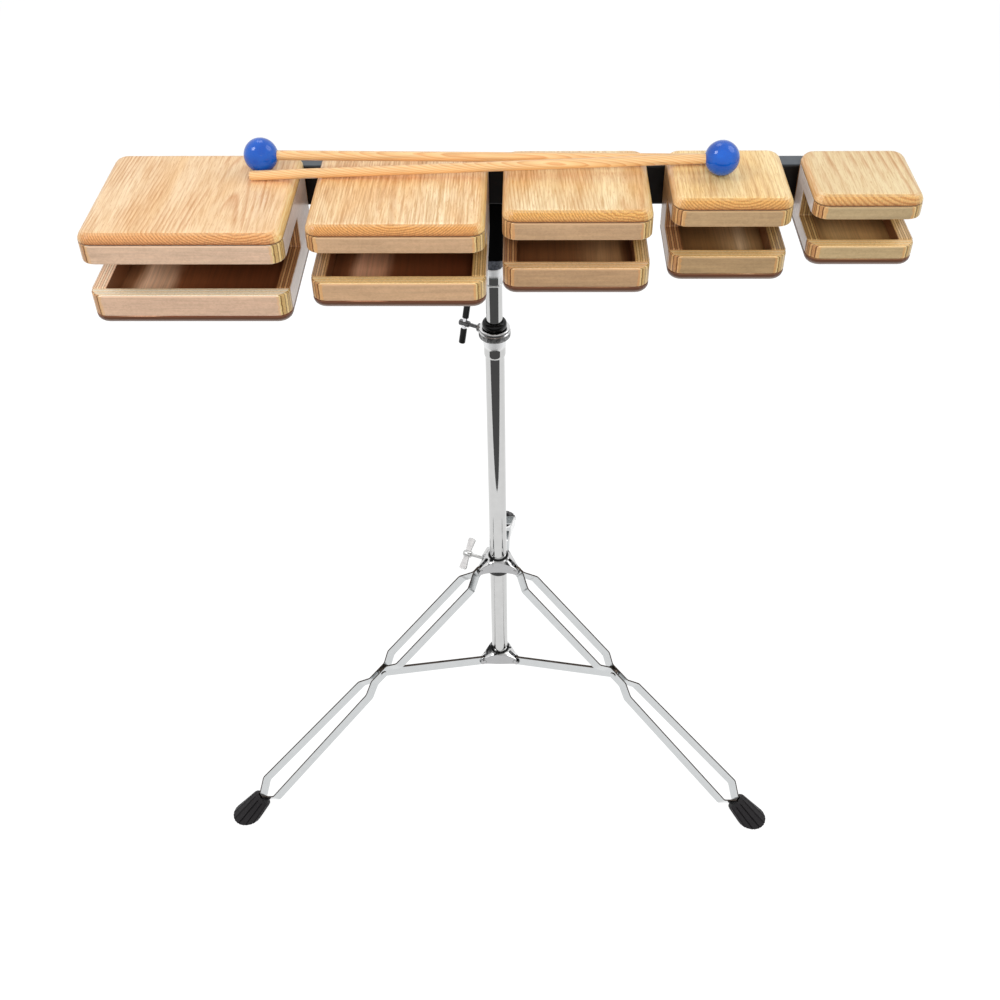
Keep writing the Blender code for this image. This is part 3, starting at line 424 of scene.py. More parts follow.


# The chamber's floor across its width, block by block: painted light where it falls through the mouth, and
# painted shade
CHAMBER_LIGHT_AND_SHADE = (
    ((0.00, rgb(140, 88, 54)), (0.08, rgb(172, 118, 80)), (0.16, rgb(255, 208, 170)),
     (0.27, rgb(252, 200, 160)), (0.36, rgb(150, 88, 52)), (0.60, rgb(130, 72, 40)),
     (1.00, rgb(118, 64, 36))),
    ((0.00, rgb(108, 62, 36)), (0.12, rgb(136, 82, 50)), (0.20, rgb(236, 176, 138)),
     (0.33, rgb(222, 160, 122)), (0.42, rgb(124, 70, 40)), (0.90, rgb(112, 58, 32)), (1.00, rgb(92, 48, 26))),
    ((0.00, rgb(124, 76, 44)), (0.50, rgb(146, 96, 58)), (0.75, rgb(196, 148, 102)),
     (0.90, rgb(176, 130, 86)), (0.96, rgb(112, 70, 40)), (1.00, rgb(94, 56, 34))),
    ((0.00, rgb(128, 88, 50)), (0.40, rgb(156, 114, 68)), (0.65, rgb(200, 158, 110)),
     (0.75, rgb(236, 200, 154)), (0.85, rgb(186, 144, 96)), (1.00, rgb(136, 98, 58))),
    ((0.00, rgb(166, 124, 74)), (0.30, rgb(216, 174, 116)), (0.70, rgb(194, 150, 96)),
     (1.00, rgb(150, 112, 66))),
)
# The bottom board's rim by height, from its rounding up to the panels above: a greyish painted reflection low
# down and painted shade in dark brown higher up
RIM_SHADE_AND_REFLECTION = ((0.05, rgb(160, 146, 138)), (0.35, rgb(142, 122, 112)), (0.56, rgb(110, 82, 64)),
             (0.78, rgb(94, 52, 27)), (0.98, rgb(120, 76, 52)))


def base_wood(number):
    """The thin bottom board: the chamber's floor above with painted light and shade, and a rim with painted
    shade in brown and a painted reflection on its greyish rounding.
    """
    low, high = corners(f"block_{number}_base")
    shader = Shader(f"base_{number}", 0.45, coat=0.15)
    left, right = low.x + PLY, high.x - PLY
    across = shader.math("DIVIDE", shader.math("SUBTRACT", shader.along("X"), left), right - left)
    waver = shader.step(shader.noise((60, 12, 60), 2.0), 0.2, 0.8, -0.03, 0.03)
    # Painted light and shade on the chamber's floor
    floor = shader.ramp(shader.math("ADD", across, waver), CHAMBER_LIGHT_AND_SHADE[number - 1])
    grain = shader.noise((620, 16, 620), 3.0, 0.3)
    floor = shader.mix(0.7, floor, shader.ramp(grain, [(0.32, gray(0.72)), (0.62, gray(1.10))]), "MULTIPLY")
    # Painted reflection and painted shade on the rim, by height
    rim = shader.ramp(shader.height(low, high), RIM_SHADE_AND_REFLECTION)
    streaks = shader.noise((30, 30, 900), 3.0)
    rim = shader.mix(0.6, rim, shader.ramp(streaks, [(0.3, gray(0.80)), (0.65, gray(1.08))]), "MULTIPLY")
    shader.color(shader.mix(shader.step(shader.along("Z", "Normal"), 0.80, 0.95), rim, floor))
    shader.bump(grain, 0.08, 0.0003)
    return shader.material


def stick_wood():
    """A stick turned from straight wood, whose rings run out along it in long chevrons."""
    shader = Shader("stick_wood", 0.34, coat=0.2)
    figure = shader.rings((-0.120, -0.140, 0.800), (9.0, 0, 85.0), 0.0019, 5.0, 0.004)
    fibre = shader.noise((30, 900, 900), 3.0, 0.2)
    color = shader.ramp(figure, [(0.0, rgb(246, 206, 150)), (0.6, rgb(242, 194, 134)),
                                 (0.90, rgb(227, 166, 108)), (1.0, rgb(244, 198, 140))])
    color = shader.mix(0.9, color, shader.ramp(fibre, [(0.32, gray(0.86)), (0.62, gray(1.06))]), "MULTIPLY")
    shader.color(color)
    shader.bump(fibre, 0.05, 0.0003)
    return shader.material


# Metal, plastic and rubber
SATIN_TONE = (0.92, 0.925, 0.93, 1.0)
SATIN_ROUGHNESS = 0.55
# Distances from the post's axis between which the painted shadow round the post ends
POST_SHADOW_END = (0.0108, 0.0122)
CLAMP_RING_HEIGHT = 0.0110


def chrome(name, tone, roughness, edges=None, satin=None):
    """Bright plate with faint wear.

    Faces turned up may show two tones, blotched, that are painted reflections and painted shade, with the
    dark one as a painted shadow close round the post. It may also turn satin over a span of height.
    """
    shader = Shader(name, roughness, metallic=1.0)
    wear = shader.noise((120, 120, 120), 4.0)
    color = shader.ramp(wear, [(0.3, scaled(tone, 0.95)), (0.7, tone)])
    finish = shader.step(wear, 0.3, 0.7, roughness * 0.8, roughness * 1.3)
    if edges:
        dark, pale = edges
        # Painted shadow: the dark tone close round the post, where the gap beside it is in shade
        offset = [shader.math("SUBTRACT", shader.along(axis), middle) for axis, middle in zip("XY", AXIS)]
        pale = shader.mix(shader.step(shader.distance(*offset), *POST_SHADOW_END), dark, pale)
        # Painted reflections and painted shade on faces turned up, blotched between the two tones
        painted_top = shader.mix(shader.step(shader.noise((130, 130, 130), 1.0, 0.3), 0.39, 0.51), dark, pale)
        color = shader.mix(shader.step(shader.along("Z", "Normal"), 0.45, 0.60), color, painted_top)
    if satin:
        start, end = satin
        color = shader.mix(shader.step(shader.along("Z"), start, end), color, SATIN_TONE)
        soft = shader.step(shader.along("Z"), start, end, 0.0, SATIN_ROUGHNESS)
        finish = shader.math("MAXIMUM", finish, soft)
    shader.color(color)
    shader.put(shader.shader.inputs["Roughness"], finish)
    return shader.material


def coated(name, tone, roughness, grain=260.0, strength=0.15, specular=0.5, top=None):
    """Powder coat, plastic or rubber with a fine grain, and where a top tone is given, a painted sheen on the
    faces turned up.
    """
    shader = Shader(name, roughness, specular=specular)
    fine = shader.noise((grain, grain, grain), 3.0)
    broad = shader.noise((24, 24, 24), 2.0)
    color = shader.ramp(broad, [(0.3, scaled(tone, 0.85)), (0.7, scaled(tone, 1.15))])
    # Painted sheen on the faces turned up
    if top:
        color = shader.mix(shader.step(shader.along("Z", "Normal"), 0.70, 0.98), color, top)
    shader.color(color)
    shader.rough(fine, roughness * 0.85, roughness * 1.2)
    shader.bump(fine, strength, 0.0002)
    return shader.material


def mottled(name, dark, pale, scale, bump=0.2):
    """A dull cast surface, blotched between two tones."""
    roughness = 0.42
    shader = Shader(name, roughness)
    spots = shader.noise((scale, scale, scale), 4.0, 0.3, 0.65)
    shader.color(shader.ramp(spots, [(0.36, dark), (0.62, pale)]))
    shader.rough(spots, roughness * 0.8, roughness * 1.3)
    shader.bump(spots, bump, 0.0003)
    return shader.material


def clamp_metal(top):
    """Plate with a painted highlight on its lip, painted shade in its groove, a painted highlight line, a
    dull knurled band below it and painted shade at its bottom edge.
    """
    shader = Shader("clamp_ring_metal", 0.22, metallic=1.0)
    spots = shader.noise((420, 420, 300), 3.0, 0.2, 0.6)
    band = shader.ramp(spots, [(0.38, gray(0.03)), (0.60, gray(0.34))])
    depth = shader.math("DIVIDE", shader.math("SUBTRACT", top, shader.along("Z")), CLAMP_RING_HEIGHT)
    # Painted highlights on the lip and on a line below the groove, and painted shade in the groove and at the
    # bottom edge
    smooth = shader.ramp(depth, [(0.10, gray(0.72)), (0.14, gray(0.10)), (0.29, gray(0.10)),
                                 (0.33, gray(0.62)), (0.40, gray(0.62)), (0.44, gray(0.22)),
                                 (0.93, gray(0.22)), (0.97, gray(0.04))])
    color = shader.mix(shader.step(depth, 0.41, 0.46), smooth, shader.mix(0.75, smooth, band))
    shader.color(color)
    shader.put(shader.shader.inputs["Roughness"], shader.step(depth, 0.38, 0.46, 0.14, 0.34))
    shader.bump(spots, 0.10, 0.0002)
    return shader.material


def ball_plastic():
    shader = Shader("ball_blue", 0.10, coat=0.25, coat_roughness=0.05, specular=0.36)
    tone = shader.noise((70, 70, 70), 3.0)
    shader.color(shader.ramp(tone, [(0.32, rgb(4, 80, 184)), (0.68, rgb(8, 98, 208))]))
    return shader.material


CHROME_TONE = (0.575, 0.575, 0.57, 1.0)
CLAMP_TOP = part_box("clamp_collar")[1][2]
TUBE_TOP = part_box("upper_tube")[1][2]
# Painted reflections on the hub's faces turned up, dark and pale
HUB_TOP_REFLECTIONS = (gray(0.02), gray(0.66))
# Painted shade on the straps' faces turned up
STRAP_TOP_SHADE = ((0.045, 0.036, 0.03, 1.0), (0.06, 0.048, 0.04, 1.0))
MATERIALS = {
    # The bar's paler top is a painted sheen
    "bar": coated("bar_black", rgb(6, 5, 6), 0.34, specular=0.40, top=rgb(76, 83, 90)),
    "stem": coated("stem_black", rgb(4, 4, 4), 0.60, specular=0.03),
    "stem_ring": mottled("ring_grey", rgb(38, 40, 46), rgb(92, 96, 106), 420),
    "tube": chrome("tube_chrome", CHROME_TONE, 0.035),
    "flared_tube": chrome("flared_tube_chrome", CHROME_TONE, 0.035,
                          satin=(TUBE_TOP - 0.0115, TUBE_TOP - 0.0065)),
    "collar": chrome("collar_chrome", CHROME_TONE, 0.05, satin=(CLAMP_TOP - 0.0235, CLAMP_TOP - 0.0180)),
    "knurl": clamp_metal(CLAMP_TOP),
    "bushing": coated("bushing_black", rgb(5, 5, 5), 0.12, strength=0.02, specular=0.22),
    "bolt_steel": chrome("bolt_steel", (0.16, 0.16, 0.165, 1.0), 0.30),
    "bolt_bright": chrome("bolt_bright", (0.80, 0.80, 0.82, 1.0), 0.18),
    "sleeve": coated("sleeve_black", rgb(9, 9, 9), 0.42, specular=0.3),
    "hub": chrome("hub_chrome", (0.435, 0.435, 0.44, 1.0), 0.12, HUB_TOP_REFLECTIONS),
    "wing": mottled("wing_cast", rgb(218, 216, 216), rgb(240, 238, 237), 300, 0.1),
    "wing_edge": chrome("wing_edge", CHROME_TONE, 0.25),
    "bush": coated("bush_black", rgb(10, 10, 10), 0.35),
    "strap": chrome("strap_chrome", (0.585, 0.60, 0.605, 1.0), 0.10, STRAP_TOP_SHADE),
    "foot": coated("foot_rubber", rgb(31, 29, 31), 0.56, 400.0, 0.2, 0.24),
    "ball": ball_plastic(),
    "stick": stick_wood(),
}
NODE_FINISH = {
    "bar": "bar", "stem": "stem", "stem_ring": "stem_ring", "upper_tube": "tube", "base_tube": "tube",
    "bushing": "bushing", "clamp_collar": "collar", "height_bolt": "bolt_steel", "leg_hub": "hub",
    "hub_bush": "bush", "hub_bolt": "wing", "bracket": "hub", "leg": "strap", "stay": "strap", "foot": "foot",
    "mallet_stick": "stick", "mallet_ball": "ball",
}
FRONTS = {
    "front_upper": ((218, 185, 157), (202, 165, 128), (196, 160, 122), (187, 155, 115), (183, 159, 120)),
    "front_lower": ((217, 182, 154), (204, 166, 128), (185, 149, 111), (176, 145, 105), (193, 167, 124)),
}


def block_finish(node):
    number, part = int(node.split("_")[1]), node.split("_", 2)[2]
    if part == "lid":
        return lid_wood(number, LIDS[number - 1])
    if part == "base":
        return base_wood(number)
    if part == "back":
        return back_wood(number)
    if part.startswith("side"):
        return side_wood(number, part.split("_")[1])
    return front_wood(number, part, rgb(*FRONTS[part][number - 1]))


def ease_edges(node, width):
    """Breaks the sharp edges of a CAD node as it is shown."""
    weld = node.modifiers.new("weld", "WELD")
    weld.merge_threshold = 0.00002
    bevel = node.modifiers.new("ease", "BEVEL")
    bevel.width = width
    bevel.segments = 2
    bevel.limit_method = "ANGLE"
    bevel.angle_limit = math.radians(38)
    bevel.use_clamp_overlap = False


EASES = {"bar": 0.0009, "stem": 0.0009, "leg_hub": 0.0004, "bracket": 0.0004}
BLOCK_EASES = {"lid": 0.0005, "base": 0.0007, "back": 0.0008, "front": 0.0008, "side": 0.0008}

for part in frame["record"]["subparts"]:
    name, slot = part["node"], part["material_slot"]
    node = frame["nodes"][name]
    in_block = name.startswith("block_")
    width = BLOCK_EASES[name.split("_")[2]] if in_block else EASES.get(slot)
    if width:
        ease_edges(node, width)
    node.data.materials.clear()
    node.data.materials.append(block_finish(name) if in_block else MATERIALS[NODE_FINISH[slot]])


# Finer pieces that stand for the faceted CAD ones. Profiles are points of radius and height.
ON_POST = Matrix.Translation((*AXIS, 0))
SMOOTH_ANGLE = 38
KNURL_DEPTH = 0.00016
# Radius of the bores that run on the base tube
TUBE_BORE = 0.009825
# Height and azimuth of both clamping bolts, and how far their bars are tilted
HEIGHT_BOLT = (0.5640, 152)
HEIGHT_BOLT_TILT = 19
HUB_BOLT = (0.2488, 158)
HUB_BOLT_TILT = 53
# The chamfered inner end of both shanks
SHANK_START = ((0.0016, 0.0098), (0.0019, 0.0102))


def arc(centre_x, centre_y, radius, start, end, steps):
    """Points along an arc between two angles in degrees."""
    angles = [math.radians(start + (end - start) * i / steps) for i in range(steps + 1)]
    return [(centre_x + radius * math.cos(a), centre_y + radius * math.sin(a)) for a in angles]


def skin(solid, loops, closed=False):
    """Joins each loop of vertices to the next, and gives the faces between them.

    The last loop joins the first where it is closed. Otherwise both ends get a flat face.
    """
    faces = []
    for low, high in zip(loops, loops[1:] + loops[:1] if closed else loops[1:]):
        for i in range(len(low)):
            j = (i + 1) % len(low)
            faces.append(solid.faces.new((low[i], low[j], high[j], high[i])))
    if not closed:
        solid.faces.new(loops[0][::-1])
        solid.faces.new(loops[-1])
    return faces


def turned_shell(solid, profile, closed, sides, place, cut=()):
    """Adds a profile turned round Z to a mesh. Every other side is cut in at the profile's points in cut."""
    loops = []
    for index, (radius, z) in enumerate(profile):
        depth = KNURL_DEPTH if index in cut else 0.0
        loop = []
        for i in range(sides):
            angle = math.tau * i / sides
            reach = radius - depth * (i % 2)
            point = Vector((reach * math.cos(angle), reach * math.sin(angle), z))
            loop.append(solid.verts.new(place @ point))
        loops.append(loop)
    skin(solid, loops, closed)


def supported(profile, near=0.0005):
    """A profile with points added beside the bends of its long straights, so that they shade straight."""
    points = [profile[0]]
    for (r0, z0), (r1, z1) in zip(profile, profile[1:]):
        length = math.hypot(r1 - r0, z1 - z0)
        if length > 6 * near:
            t = near / length
            points += [(r0 + (r1 - r0) * s, z0 + (z1 - z0) * s) for s in (t, 1 - t)]
        points.append((r1, z1))
    return points


def add_piece(name, solid, material, body, nodes, smooth=SMOOTH_ANGLE):
    bmesh.ops.recalc_face_normals(solid, faces=solid.faces)
    mesh = bpy.data.meshes.new(name)
    solid.to_mesh(mesh)
    solid.free()
    for entry in (material,) if isinstance(material, str) else material:
        mesh.materials.append(MATERIALS[entry])
    mesh.shade_smooth()
    mesh.set_sharp_from_angle(angle=math.radians(smooth))
    piece = bpy.data.objects.new(name, mesh)
    bpy.context.scene.collection.objects.link(piece)
    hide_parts(*nodes)
    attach(piece, body)


def turned_piece(name, profile, material, body, nodes, sides=96):
    """A hollow piece turned round the post's axis."""
    solid = bmesh.new()
    turned_shell(solid, supported(profile), True, sides, ON_POST)
    add_piece(name, solid, material, body, nodes)


def seat_on_post(height, azimuth):
    """A frame on the post's axis with X outward, and the same one turned so that Z is outward."""
    outward = Matrix.Translation((*AXIS, height)) @ Matrix.Rotation(math.radians(azimuth), 4, "Z")
    return outward, outward @ Matrix.Rotation(math.pi / 2, 4, "Y")


def rounded_tube(outer, inner, low, high, edge=0.0003):
    return [(inner, low + edge), (inner + edge, low), (outer - edge, low), (outer, low + edge),
            (outer, high - edge), (outer - edge, high), (inner + edge, high), (inner, high - edge)]


def add_tubes():
    """The base tube, and the upper tube with a bead and a flared mouth."""
    low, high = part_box("base_tube")
    outer, wall = (high[0] - low[0]) / 2, 0.0011
    turned_piece("base_tube_fine", rounded_tube(outer, outer - wall, low[2], high[2]), "tube", "stand",
                 ["base_tube"], sides=128)
    low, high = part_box("upper_tube")
    top, radius, wall = high[2], 0.0080, 0.0007
    bead, flare, lip = top - 0.0180, top - 0.0068, 0.0008
    outside = [(radius, low[2]), (radius, bead - 0.0009), *arc(radius, bead, 0.0006, -80, 80, 6)]
    outside += [(radius, bead + 0.0009), (radius, flare - 0.0012), (radius + 0.00003, flare)]
    outside += [(radius + lip, top - 0.0003), (radius + 0.0006, top)]
    inside = [(radius + lip - wall, top), (radius - wall, top - 0.0078), (radius - wall, low[2])]
    turned_piece("upper_tube_fine", outside + inside, "flared_tube", "upper_mast",
                 ["upper_tube"], sides=128)


def add_clamp():
    """The collar with its rounded nose, and round its top the knurled ring with the bolt's boss."""
    nose, top = (corner[2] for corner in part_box("clamp_collar"))
    bottom = top - CLAMP_RING_HEIGHT
    neck, flange = 0.01065, 0.01195
    round_wide, round_high = 0.0006, 0.0030
    collar = [(TUBE_BORE, nose + 0.0003), (TUBE_BORE + 0.0003, nose)]
    collar += [(neck - round_wide + round_wide * math.cos(a), nose + round_high - round_high * math.sin(a))
               for a in map(math.radians, (70, 45, 20, 0))]
    collar += [(neck, bottom - 0.0122), (0.01070, bottom - 0.0112), (flange, bottom - 0.0006),
               (flange, bottom + 0.001), (TUBE_BORE, bottom + 0.001)]
    turned_piece("clamp_collar_fine", collar, "collar", "stand", ["clamp_collar"])
    inner, ring = 0.01215, 0.0155
    band = [(inner, bottom), (ring - 0.0012, bottom), (ring - 0.0002, bottom + 0.0010),
            (ring, bottom + 0.0016), (ring, top - 0.0044), (ring - 0.0006, top - 0.0040)]
    knurled = (3, 4)
    groove = [(ring - 0.0011, top - 0.0037), (ring - 0.0011, top - 0.0031), (ring - 0.0006, top - 0.0028)]
    lip = arc(ring - 0.0017, top - 0.0017, 0.0013, -40, 90, 6)
    inside = [(ring - 0.0030, top - 0.0006), (TUBE_BORE, top - 0.0006), (TUBE_BORE, bottom + 0.0013),
              (inner, bottom + 0.0013)]
    solid = bmesh.new()
    turned_shell(solid, band + groove + lip + inside, True, 144, ON_POST, knurled)
    boss = [(0.0022, 0.0142), (0.0042, 0.0142), (0.0042, 0.0180), (0.0037, 0.0185), (0.0022, 0.0185)]
    turned_shell(solid, boss, True, 48, seat_on_post(*HEIGHT_BOLT)[1])
    add_piece("clamp_ring_fine", solid, "knurl", "stand", ["clamp_collar"])


def add_bushing():
    """A sleeve inside the clamp, and a wider rounded head on it."""
    low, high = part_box("bushing")
    head, top = 0.5713, high[2]
    bore, sleeve, outer, rounding = 0.0083, 0.009525, 0.0119, 0.0036
    dome = arc(outer - rounding, top - rounding, rounding, 0, 80, 10)
    profile = [(bore, low[2]), (sleeve, low[2]), (sleeve, head), (0.0116, head), (outer, head + 0.0004),
               *dome, (0.0088, top - 0.0001), (bore, top - 0.0006)]
    turned_piece("bushing_fine", profile, "bushing", "stand", ["bushing"])


def add_rings():
    """The dark ring on the stem and the black bush under the hub."""
    low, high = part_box("stem_ring")
    turned_piece("stem_ring_fine", rounded_tube(0.0090, 0.0073, low[2], high[2], 0.0005), "stem_ring",
                 "block_row", ["stem_ring"])
    low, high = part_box("hub_bush")
    outer, edge = 0.0131, 0.0017
    profile = [(TUBE_BORE, low[2]), (outer - edge, low[2])]
    profile += arc(outer - edge, low[2] + edge, edge, -80, 0, 5)
    profile += [(outer, high[2] - 0.0004), (outer - 0.0004, high[2]), (TUBE_BORE, high[2])]
    turned_piece("hub_bush_fine", profile, "bush", "leg_slider", ["hub_bush"])


def add_height_bolt():
    """Shank, hub and bare cross bar in steel, and two black sleeves on the cross bar."""
    outward, along = seat_on_post(*HEIGHT_BOLT)
    cross = outward @ Matrix.Translation((0.0335, 0, 0))
    cross @= Matrix.Rotation(math.radians(HEIGHT_BOLT_TILT), 4, "X")
    solid = bmesh.new()
    turned_shell(solid, [*SHANK_START, (0.0019, 0.0290)], False, 48, along)
    hub = [(0.0025, 0.0280), (0.0031, 0.0286), (0.0031, 0.0384), (0.0025, 0.0390)]
    turned_shell(solid, hub, False, 48, along)
    add_piece("height_bolt_fine", solid, "bolt_steel", "height_bolt", ["height_bolt"])
    solid = bmesh.new()
    turned_shell(solid, [(0.0025, -0.0060), (0.0025, 0.0060)], False, 48, cross)
    add_piece("height_bolt_cross", solid, "bolt_bright", "height_bolt", ["height_bolt"])
    sleeve = [(0.0028, 0.0052), (0.0032, 0.0056), (0.0032, 0.0193), (0.0030, 0.0200), (0.0025, 0.0205)]
    for name, sign in (("a", 1), ("b", -1)):
        solid = bmesh.new()
        turned_shell(solid, [(radius, sign * z) for radius, z in sleeve], False, 48, cross)
        add_piece(f"height_bolt_sleeve_{name}", solid, "sleeve", "height_bolt",
                  ["height_bolt"])


def plate(solid, outline, thickness, edge, place):
    """A flat plate square to X with eased edges. Its faces have the first material and its rim the second."""
    middle = sum((Vector(point) for point in outline), Vector((0, 0))) / len(outline)
    half = thickness / 2
    loops = []
    for x, shrink in ((-half, 1), (edge - half, 0), (half - edge, 0), (half, 1)):
        loop = []
        for point in outline:
            offset = Vector(point) - middle
            offset -= offset.normalized() * edge * shrink
            loop.append(solid.verts.new(place @ Vector((x, *(middle + offset)))))
        loops.append(loop)
    for face in skin(solid, loops):
        face.material_index = 1


def add_hub_bolt():
    """A bright shank and round hub, and two cast wings that widen outward to rounded corners."""
    outward, along = seat_on_post(*HUB_BOLT)
    solid = bmesh.new()
    turned_shell(solid, [*SHANK_START, (0.0019, 0.0340)], False, 48, along)
    head = [(0.0030, 0.0333), (0.0037, 0.0339), (0.0038, 0.0350), (0.0038, 0.0418), (0.0034, 0.0429),
            (0.0022, 0.0437)]
    turned_shell(solid, head, False, 48, along)
    for face in solid.faces:
        face.material_index = 2
    half, length, corner = 0.0043, 0.0185, 0.0020
    outline = [(-half * 0.72, 0.0028), (half * 0.72, 0.0028)]
    outline += arc(half - corner, length - corner, corner, 0, 90, 5)
    outline += arc(corner - half, length - corner, corner, 90, 180, 5)
    for turn in (0, 180):
        place = outward @ Matrix.Translation((0.0385, 0, 0))
        place @= Matrix.Rotation(math.radians(HUB_BOLT_TILT + turn), 4, "X")
        place @= Matrix.Rotation(math.pi / 2, 4, "Z")
        plate(solid, outline, 0.0026, 0.0005, place)
    add_piece("hub_bolt_fine", solid, ("wing", "wing_edge", "tube"), "hub_bolt", ["hub_bolt"])


BALL_RADIUS = 0.01424
STICK_RADIUS = 0.0040
SOCKET_RADIUS = STICK_RADIUS + 0.0003
SOCKET_FLOOR = BALL_RADIUS - 0.0120
STICK_TIP = 0.0012
MOULD_LINE_DEPTH = 0.00012


def stick_axis(name):
    """Both ends of a stick's axis, the ball's first: the middle of the vertices at either end of it."""
    points = [vertex.co for vertex in frame["nodes"][f"mallet_{name}_stick"].data.vertices]
    ends = []
    for pick in (min, max):
        limit = pick(point.x for point in points)
        cap = [point for point in points if abs(point.x - limit) < 0.003]
        ends.append(Vector([(min(column) + max(column)) / 2 for column in zip(*cap)]))
    return ends if name == "rear" else ends[::-1]


def add_mallet(name):
    """A ball with a faint moulded line and a socket, and a stick in it with a rounded end."""
    near_end, far_end = stick_axis(name)
    heading = (far_end - near_end).normalized()
    turn = heading.to_track_quat("Z", "Y").to_matrix().to_4x4()
    solid = bmesh.new()
    mouth = math.degrees(math.asin(SOCKET_RADIUS / BALL_RADIUS))
    profile = [(radius - (MOULD_LINE_DEPTH if abs(z) < 0.0003 else 0.0), z)
               for radius, z in arc(0, 0, BALL_RADIUS, -89, 90 - mouth, 64)]
    profile += [(SOCKET_RADIUS, BALL_RADIUS - 0.0009), (SOCKET_RADIUS, SOCKET_FLOOR)]
    middle = near_end - heading * (SOCKET_FLOOR + 0.0003)
    turned_shell(solid, profile, False, 96, Matrix.Translation(middle) @ turn)
    add_piece(f"mallet_{name}_ball_fine", solid, "ball", f"mallet_{name}",
              [f"mallet_{name}_ball"])
    solid = bmesh.new()
    length = (far_end - near_end).length + 0.0005
    profile = [(STICK_RADIUS, 0.0), (STICK_RADIUS, length - STICK_TIP)]
    profile += [(STICK_RADIUS - STICK_TIP * (1 - math.cos(a)), length - STICK_TIP + STICK_TIP * math.sin(a))
                for a in map(math.radians, (30, 60, 90))]
    turned_shell(solid, supported(profile), False, 48, Matrix.Translation(near_end) @ turn)
    add_piece(f"mallet_{name}_stick_fine", solid, "stick", f"mallet_{name}",
              [f"mallet_{name}_stick"])


FOOT_LENGTH = 0.0290
FOOT_SOLE_RADIUS = 0.0170
FOOT_RIM_RADIUS = 0.0112
FOOT_RIBS = 12
FOOT_GROOVE = 0.0018
FOOT_SOCKET_DEPTH = 0.0140
FOOT_SOCKET_HALF = (0.0062, 0.00405)
# From the sole (0) to the rim (1): how far each row is drawn in, and how much of the groove it has
FOOT_ROWS = ((0.0, 0.0009, 0.4), (0.035, 0.0, 1.0), (0.30, 0.0, 1.0), (0.84, 0.0, 0.9),
             (0.93, 0.0001, 0.35), (0.98, 0.0006, 0.0), (1.0, 0.0016, 0.0))


def spoke(first, second, turn):
    """A direction turned from the first toward the second."""
    return first * math.cos(turn) + second * math.sin(turn)


def add_foot(number):
    """A boot with broad flat ribs, from its flat sole up to a rounded rim with a socket for the straps."""
    place = ON_POST @ Matrix.Rotation(math.radians(LEG_AZIMUTHS[number - 1]), 4, "Z")
    slope = math.atan2(PIVOT_HEIGHT, STAND_REACH - PIVOT_REACH)
    outward, sideways = Vector((1, 0, 0)), Vector((0, 1, 0))
    along = Vector((-math.cos(slope), 0, math.sin(slope)))
    across = Vector((math.sin(slope), 0, math.cos(slope)))
    sole = Vector((STAND_REACH, 0, 0))
    rim = sole + along * FOOT_LENGTH
    pitch = 360 / FOOT_RIBS
    # Each rib has its left edge, its middle, its right edge and the groove beside it
    turns = [math.radians(pitch * rib + pitch / 2 + offset)
             for rib in range(FOOT_RIBS) for offset in (-11.0, 0.0, 11.0, pitch / 2)]
    rows = []
    for share, inset, groove in FOOT_ROWS:
        cuts = (0.0, 0.0003, 0.0, groove * FOOT_GROOVE)
        row = []
        for index, turn in enumerate(turns):
            cut = inset + cuts[index % 4]
            low = sole + spoke(outward, sideways, turn) * (FOOT_SOLE_RADIUS - cut)
            high = rim + spoke(across, sideways, turn) * (FOOT_RIM_RADIUS - cut)
            row.append(low.lerp(high, share))
        rows.append(row)
    for depth in (0.0, FOOT_SOCKET_DEPTH):
        row = []
        for turn in turns:
            reach = min(half / max(abs(part), 1e-6)
                        for half, part in zip(FOOT_SOCKET_HALF, (math.cos(turn), math.sin(turn))))
            row.append(rim - along * depth + spoke(across, sideways, turn) * reach)
        rows.append(row)
    solid = bmesh.new()
    skin(solid, [[solid.verts.new(place @ point) for point in row] for row in rows])
    add_piece(f"foot_{number}_fine", solid, "foot", f"leg_{number}", [f"foot_{number}"], smooth=18)


add_tubes()
add_clamp()
add_bushing()
add_rings()
add_height_bolt()
add_hub_bolt()
for mallet in ("rear", "front"):
    add_mallet(mallet)
for number in (1, 2, 3):
    add_foot(number)


# Floor, light and camera
def any_view_ray(tree):
    """1 for camera, glossy and transmission rays, and 0 for the rays that only carry light."""
    path = tree.nodes.new("ShaderNodeLightPath")
    total = path.outputs["Is Camera Ray"]
    for name in ("Is Glossy Ray", "Is Transmission Ray"):
        node = tree.nodes.new("ShaderNodeMath")
        node.operation = "MAXIMUM"
        tree.links.new(total, node.inputs[0])
        tree.links.new(path.outputs[name], node.inputs[1])
        total = node.outputs[0]
    return total


def mixed(tree, factor, first, second):
    node = tree.nodes.new("ShaderNodeMixShader")
    if isinstance(factor, bpy.types.NodeSocket):
        tree.links.new(factor, node.inputs[0])
    else:
        node.inputs[0].default_value = factor
    tree.links.new(first, node.inputs[1])
    tree.links.new(second, node.inputs[2])
    return node.outputs[0]


def plane(name, low, high, z):
    mesh = bpy.data.meshes.new(name)
    points = [(low[0], low[1], z), (high[0], low[1], z), (high[0], high[1], z), (low[0], high[1], z)]
    mesh.from_pydata(points, [], [(0, 1, 2, 3)])
    item = bpy.data.objects.new(name, mesh)
    bpy.context.scene.collection.objects.link(item)
    return item


def bare_material(name):
    """A material with nothing but its output node."""
    material = bpy.data.materials.new(name)
    material.use_nodes = True
    material.node_tree.nodes.remove(material.node_tree.nodes["Principled BSDF"])
    return material


def source(tree, kind, socket, value):
    """The output of a new shader node with one input set."""
    node = tree.nodes.new(kind)
    node.inputs[socket].default_value = value
    return node.outputs[0]


